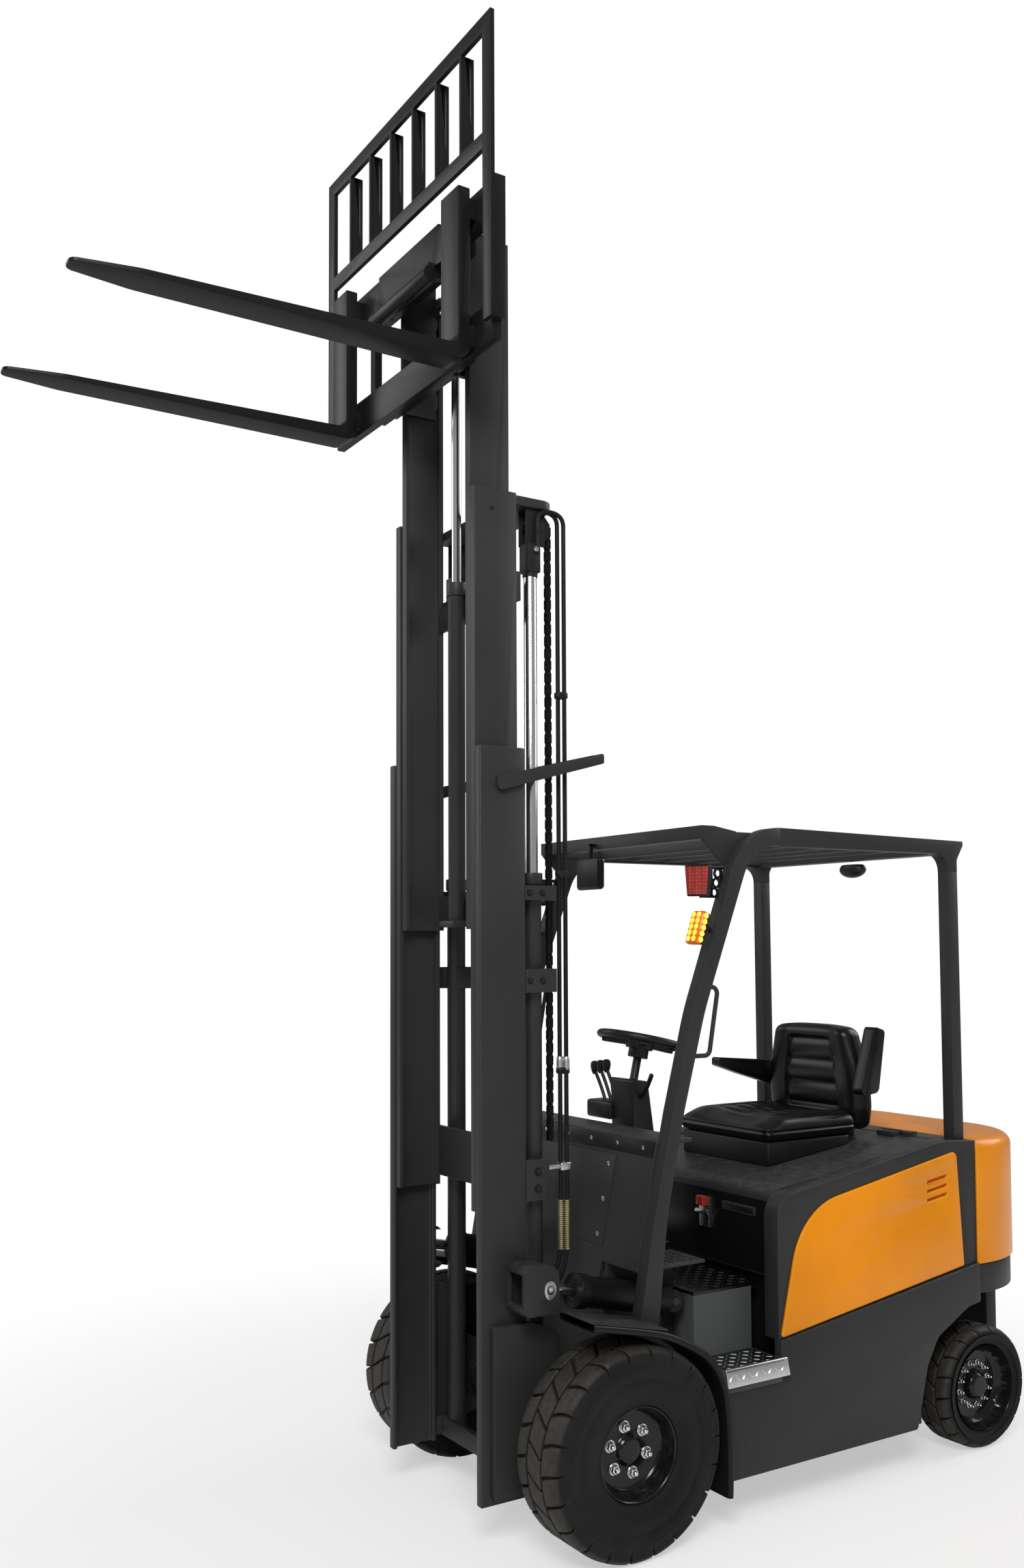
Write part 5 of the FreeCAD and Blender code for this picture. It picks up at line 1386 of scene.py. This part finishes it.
@dataclass
class Lamps:
    """Lenses and bezels of the lamps, and the mirror's glass."""

    amber_place: Point = (0.48, 0.1425, 1.7915)
    amber_lean: float = 17.9

    def amber(self) -> list[bpy.types.Object]:
        """The lit turn lamps: a bulging amber lens with rows of lights, on an arm from the pillar."""
        turn = Matrix.Translation(self.amber_place) @ Matrix.Rotation(math.radians(-self.amber_lean), 4, "X")
        lens = Bench.block("lens", (-0.031, -0.016, -0.053), (0.031, 0.011, 0.053), 0.012, 4)
        lights = []
        for row in range(5):
            for x in (-0.0125, 0.0125):
                lights.append(Bench.turned("light", (x, -0.016, -0.038 + row * 0.019), [
                    (0.004, 0.0092), (-0.0012, 0.0092), (-0.004, 0.005)], "Y", 16))
            lights.append(Bench.turned("light", (0.031, -0.002, -0.038 + row * 0.019), [
                (-0.004, 0.0085), (0.0012, 0.0085), (0.003, 0.005)], "X", 16))
        lights = [Bench.join("lights", lights)]
        holder = Bench.block("holder", (-0.028, 0.007, -0.05), (0.028, 0.016, 0.05), 0.004)
        arm = Bench.tube("arm", [(0.0, 0.012, 0.02), (0.0, 0.03, 0.012), (0.0, 0.05, 0.008), (0.0, 0.075, 0.0)], 0.0065)
        made = []
        for name, group, look, slot in (("amber_lens", [lens], "amber_lens", "amber_plastic"),
                                        ("amber_lights", lights, "amber_light", "amber_plastic"),
                                        ("amber_holders", [holder, arm], "black_plastic", "black_plastic")):
            for piece in group:
                piece.data.transform(turn)
            made.append(Bench.dress(Bench.join(name, Bench.mirrored(group)), "chassis", look, slot))
        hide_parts("amber_lamps")
        return made

    def work_lamps(self) -> list[bpy.types.Object]:
        """The square red lamps, turned a little outward, on brackets with three ringed holes."""
        turn = Matrix.Translation((0.466, 0.163, 1.9375)) @ Matrix.Rotation(math.radians(24), 4, "Z")
        lens = Bench.block("lens", (-0.036, -0.019, -0.043), (0.036, -0.004, 0.043), 0.003, 3)
        for corner in lens.data.vertices:
            corner.co.x *= 1.0 + corner.co.z * 2.2
        shell = Bench.block("shell", (-0.039, -0.016, -0.048), (0.039, 0.009, 0.048), 0.004, 3)
        for corner in shell.data.vertices:
            corner.co.x *= 1.0 + corner.co.z * 2.0
        for piece in (lens, shell):
            piece.data.transform(turn)
        frame = [shell]
        for z, y in ((1.962, 0.238), (1.932, 0.231), (1.902, 0.223)):
            frame.append(Bench.turned("ring", (0.465, y, z), [
                (-0.003, 0.0098), (-0.003, 0.0165), (0.003, 0.0165), (0.003, 0.0098), (-0.003, 0.0098)], "X", 24, True))
        frame.append(Bench.block("strap", (0.462, 0.165, 1.974), (0.468, 0.262, 1.982), 0.001))
        frame.append(Bench.block("strap", (0.462, 0.165, 1.885), (0.468, 0.236, 1.893), 0.001))
        frame.append(Bench.block("strap", (0.462, 0.168, 1.888), (0.468, 0.216, 1.978), 0.001))
        frame.append(Bench.block("strap", (0.462, 0.246, 1.936), (0.468, 0.256, 1.978), 0.001))
        lenses = Bench.dress(Bench.join("work_lamp_lenses", Bench.mirrored([lens])), "chassis", "red_lens", "red_plastic")
        shells = Bench.dress(Bench.join("work_lamp_shells", Bench.mirrored(frame)), "chassis", "black_plastic")
        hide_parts("square_lamps")
        return [lenses, shells]

    def mirror(self) -> list[bpy.types.Object]:
        """The rear view mirror: a rounded black shell on its stem, with its glass to the rear."""
        shell = Bench.block("shell", (-0.187, 0.1485, 1.93), (-0.045, 0.1745, 2.04), 0.0125, 4)
        stem = [Bench.block("stem", (-0.122, 0.1585, 2.039), (-0.110, 0.1705, 2.089), 0.002),
                Bench.block("stem", (-0.122, 0.1585, 2.077), (-0.110, 0.1825, 2.089), 0.002)]
        body = Bench.dress(Bench.join("mirror_shell", [shell] + stem), "chassis", "black_gloss", "black_plastic")
        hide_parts("rear_view_mirror")
        glass = Bench.block("mirror_glass", (-0.179, 0.1735, 1.938), (-0.053, 0.176, 2.032), 0.001)
        return [body, Bench.dress(glass, "chassis", "mirror_glass", "chrome_rod")]

    def dome(self) -> bpy.types.Object:
        """The oval lamp under the roof's rear beam."""
        low, high = Vector((-0.03, 1.2385, 1.99)), Vector((0.09, 1.3085, 2.052))
        bpy.ops.object.select_all(action="DESELECT")
        bpy.ops.mesh.primitive_uv_sphere_add(segments=32, ring_count=20, radius=1.0, location=(low + high) / 2,
                                             scale=(high - low) / 2)
        dome = Bench.settle(bpy.context.active_object)
        dome.name = "roof_lamp"
        for corner in dome.data.vertices:
            corner.co.z = min(corner.co.z, high.z - 0.012)
        return Bench.dress(dome, "chassis", "black_plastic")

    def build(self) -> list[bpy.types.Object]:
        """Red work lamps, amber lamps, the lamp under the roof and the mirror."""
        pieces = self.work_lamps()
        pieces += self.amber()
        pieces.append(self.dome())
        pieces += self.mirror()
        return pieces


@dataclass
class Controls:
    """The steering wheel's cap, and the levers with their knobs beside the column."""

    centre: Point = (0.0, 0.2845, 1.418)
    tilt: float = 13.0

    def build(self) -> list[bpy.types.Object]:
        """Cap, knob and levers."""
        turn = Matrix.Translation(self.centre) @ Matrix.Rotation(math.radians(-self.tilt), 4, "X")
        cap = Bench.turned("wheel_cap", (0, 0, 0), [
            (-0.03, 0.046), (-0.006, 0.05), (0.002, 0.044), (0.004, 0.034), (0.001, 0.03), (0.003, 0.02)], "Z", 40)
        cap.data.transform(turn)
        Bench.dress(cap, "steering_wheel", "black_plastic")
        pieces = [cap]
        levers = []
        for x, reach, high in ((-0.10, -0.02, 1.315), (-0.135, -0.05, 1.31), (-0.17, -0.08, 1.305)):
            levers.append(Bench.tube("lever", [(x + 0.05, 0.225, 1.2), (x + 0.03, 0.225, 1.24), (x, 0.225, high - 0.02),
                                               (x - 0.015, 0.225, high)], 0.006))
            knob = Bench.turned("knob", (x - 0.016, 0.225, high), [
                (-0.012, 0.007), (0.0, 0.012), (0.016, 0.015), (0.028, 0.013), (0.033, 0.007)], "Z", 20)
            levers.append(knob)
        stalk = Bench.tube("stalk", [(0.055, 0.235, 1.23), (0.09, 0.23, 1.25), (0.13, 0.22, 1.29), (0.15, 0.215, 1.315)], 0.0075)
        levers.append(stalk)
        box = Bench.block("lever_box", (-0.19, 0.19, 1.15), (-0.055, 0.27, 1.21), 0.01, 3)
        levers.append(box)
        pieces.append(Bench.dress(Bench.join("levers", levers), "chassis", "black_plastic"))
        return pieces


@dataclass
class Stage:
    """Floor, light and camera."""

    camera_place: Point = (3.7481, -2.5518, 1.7408)
    camera_yaw: float = 0.5714
    camera_pitch: float = 0.0475
    camera_roll: float = -0.0045
    focal_pixels: float = 2012.15
    centre_pixels: tuple[float, float] = (782.52, 1288.56)
    image_pixels: tuple[int, int] = (1500, 2296)
    floor_size: float = 60.0
    clear_from: float = 1.3
    clear_to: float = 3.6

    def camera(self) -> bpy.types.Object:
        """Place the camera where the photograph was taken from."""
        yaw, pitch = self.camera_yaw, self.camera_pitch
        ahead = Vector((-math.cos(yaw) * math.cos(pitch), math.sin(yaw) * math.cos(pitch), math.sin(pitch)))
        right = ahead.cross(Vector((0, 0, 1))).normalized()
        above = right.cross(ahead)
        cosine, sine = math.cos(self.camera_roll), math.sin(self.camera_roll)
        turned_right = right * cosine + above * sine
        turned_above = above * cosine - right * sine
        data = bpy.data.cameras.new("camera")
        long_side = max(self.image_pixels)
        data.sensor_width = 36.0
        data.lens = self.focal_pixels / long_side * data.sensor_width
        data.shift_x = (self.image_pixels[0] / 2 - self.centre_pixels[0]) / long_side
        data.shift_y = (self.centre_pixels[1] - self.image_pixels[1] / 2) / long_side
        data.clip_end = 200.0
        camera = bpy.data.objects.new("camera", data)
        bpy.context.scene.collection.objects.link(camera)
        turn = Matrix((turned_right, turned_above, -ahead)).transposed()
        camera.matrix_world = Matrix.Translation(self.camera_place) @ turn.to_4x4()
        bpy.context.scene.camera = camera
        return camera

    def lamp(self, name: str, place: Point, size: float, watts: float) -> None:
        """Add a soft square light that faces the truck's middle."""
        data = bpy.data.lights.new(name, "AREA")
        data.shape = "SQUARE"
        data.size = size
        data.energy = watts
        lamp = bpy.data.objects.new(name, data)
        lamp.location = place
        lamp.rotation_euler = (Vector((0, 0, 1.6)) - Vector(place)).to_track_quat("-Z", "Y").to_euler()
        bpy.context.scene.collection.objects.link(lamp)

    def floor(self) -> None:
        """Lay a pale floor that clears to white away from the truck."""
        bpy.ops.mesh.primitive_plane_add(size=self.floor_size, location=(0, 0, 0))
        floor = bpy.context.active_object
        floor.name = "floor"
        graph = Graph("floor_paint")
        graph.set(Base_Color=(0.92, 0.92, 0.92), Roughness=0.8)
        reach = graph.node("VectorMath", {"operation": "LENGTH"}, {0: graph.place}, output="Value")
        path = graph.tree.nodes.new("ShaderNodeLightPath")
        seen = Value(graph.tree, path.outputs["Is Camera Ray"])
        clear = (reach.smooth(self.clear_from, self.clear_to) * 0.5 + 0.5) * seen
        white = graph.node("Emission", inputs={"Color": rgba((1, 1, 1)), "Strength": 1.0})
        mixed = graph.node("MixShader", inputs={0: clear, 1: Value(graph.tree, graph.shader.outputs[0]), 2: white})
        mixed.feed(graph.output.inputs["Surface"])
        Bench.paint(floor, graph.material)

    def world(self) -> None:
        """Light the scene evenly, with a white background where it is seen."""
        world = bpy.data.worlds.new("studio")
        bpy.context.scene.world = world
        world.use_nodes = True
        tree = world.node_tree
        tree.nodes.clear()
        path = tree.nodes.new("ShaderNodeLightPath")
        seen = Value(tree, path.outputs["Is Camera Ray"]).math("MAXIMUM", Value(tree, path.outputs["Is Transmission Ray"]))
        background = tree.nodes.new("ShaderNodeBackground")
        background.inputs["Color"].default_value = (1, 1, 1, 1)
        (seen * 0.7 + 0.3).feed(background.inputs["Strength"])
        output = tree.nodes.new("ShaderNodeOutputWorld")
        tree.links.new(background.outputs[0], output.inputs["Surface"])

    def build(self) -> None:
        """Set up all of the stage."""
        bpy.context.scene.view_settings.view_transform = "Standard"
        self.camera()
        self.floor()
        self.world()
        self.lamp("key", (5.5, -4.0, 6.5), 3.0, 470)
        self.lamp("fill", (-5.5, -5.0, 5.0), 5.0, 160)
        self.lamp("back", (1.5, 7.0, 5.5), 4.0, 230)


def dress_nodes(frame: dict, own: set[str]) -> None:
    """Give every CAD node that keeps its shape a skin.

    Args:
        frame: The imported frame.
        own: The nodes that other classes replace.
    """
    looks = {"floor_plate": "dark_plate", "fork_carrier": "black_paint", "carriage": "black_paint",
             "steering_wheel": "black_plastic", "armrests": "seat_vinyl", "rear_deck": "grey_paint",
             # the steps take the lighter grey paint, painted light against the shade on their box
             "seat_base": "black_plastic", "steps": "light_grey_paint", "steering_column": "black_plastic", "hood_latch": "bright_steel",
             "forks": "black_paint", "backrest": "black_paint", "tilt_barrel_left": "black_paint",
             "tilt_barrel_right": "black_paint"}
    rounding = {"armrests": 0.008, "fenders": 0.004, "counterweight": 0.004, "guard_roof": 0.004, "guard_posts": 0.005,
                "forks": 0.005, "cowl": 0.0015, "seat_base": 0.006, "outer_rails": 0.004, "mid_rails": 0.004,
                "inner_rails": 0.004, "steering_column": 0.008}
    body_of = {node: body for body, nodes in frame["record"]["behaviour"]["bodies"].items() for node in nodes}
    slot_of = {row["node"]: row["material_slot"] for row in frame["record"]["subparts"]}
    for node, source in frame["nodes"].items():
        if node in own:
            source.data.materials.clear()
            source.data.materials.append(finish("dark_steel"))
            continue
        look = looks.get(node, slot_of[node])
        piece = Skin(node, body_of[node], slot_of[node], look, rounding.get(node, 0.0025),
                     node not in ("backrest", "fork_carrier", "carriage", "guard_roof"),
                     2.0405 if node == "guard_roof" else 0.0).build(source)
        LOG.info("%s: %d faces", piece.name, len(piece.data.polygons))


def main() -> None:
    """Build the stage, then each sub-assembly, then the skins of the other nodes."""
    logging.basicConfig(level=logging.INFO, format="%(message)s")
    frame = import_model()
    Stage().build()
    bpy.ops.object.select_all(action="DESELECT")
    own = {"lift_chains", "mast_hoses", "seat_cushion", "seat_back", "amber_lamps", "fenders", "step_nosings",
           "square_lamps", "rear_view_mirror"}
    for side in Side:
        front = "front_tyre_" + side.word
        rear = "rear_tyre_" + side.word
        own |= {front, rear}
        own.add("front_rim_" + side.word)
        tyres = (Tyre(front, "front_wheel_" + side.word, "front_tyre", side.value, 0.134, 22),
                 Tyre(rear, "rear_wheel_" + side.word, "rear_tyre", side.value, 0.143, 18, depth=0.010, groove=0.009,
                      middle=0.026, wrap=0.032))
        for tyre in tyres:
            LOG.info("%s: %d faces", tyre.node, len(tyre.build().data.polygons))
        DishedRim("front_rim_" + side.word, "front_wheel_" + side.word, side).build()
        WheelNuts("front_nuts_" + side.word, "front_wheel_" + side.word, side, (FRONT_AXLE_Y, 0.3), 0.522, 0.068, 6,
                  nut=0.0145).build()
        WheelNuts("rear_nuts_" + side.word, "rear_wheel_" + side.word, side, (REAR_AXLE_Y, 0.206), 0.47, 0.074, 12,
                  nut=0.0075).build()
        LiftChain(side).build()
    for assembly in (Hoses(), SeatPads(), Chequer(), Fasteners(), Dash(), Fenders(), HoodFront(), Lamps(), Controls()):
        assembly.build()
        LOG.info("%s built", type(assembly).__name__)
    dress_nodes(frame, own)


if __name__ == "__main__":
    main()
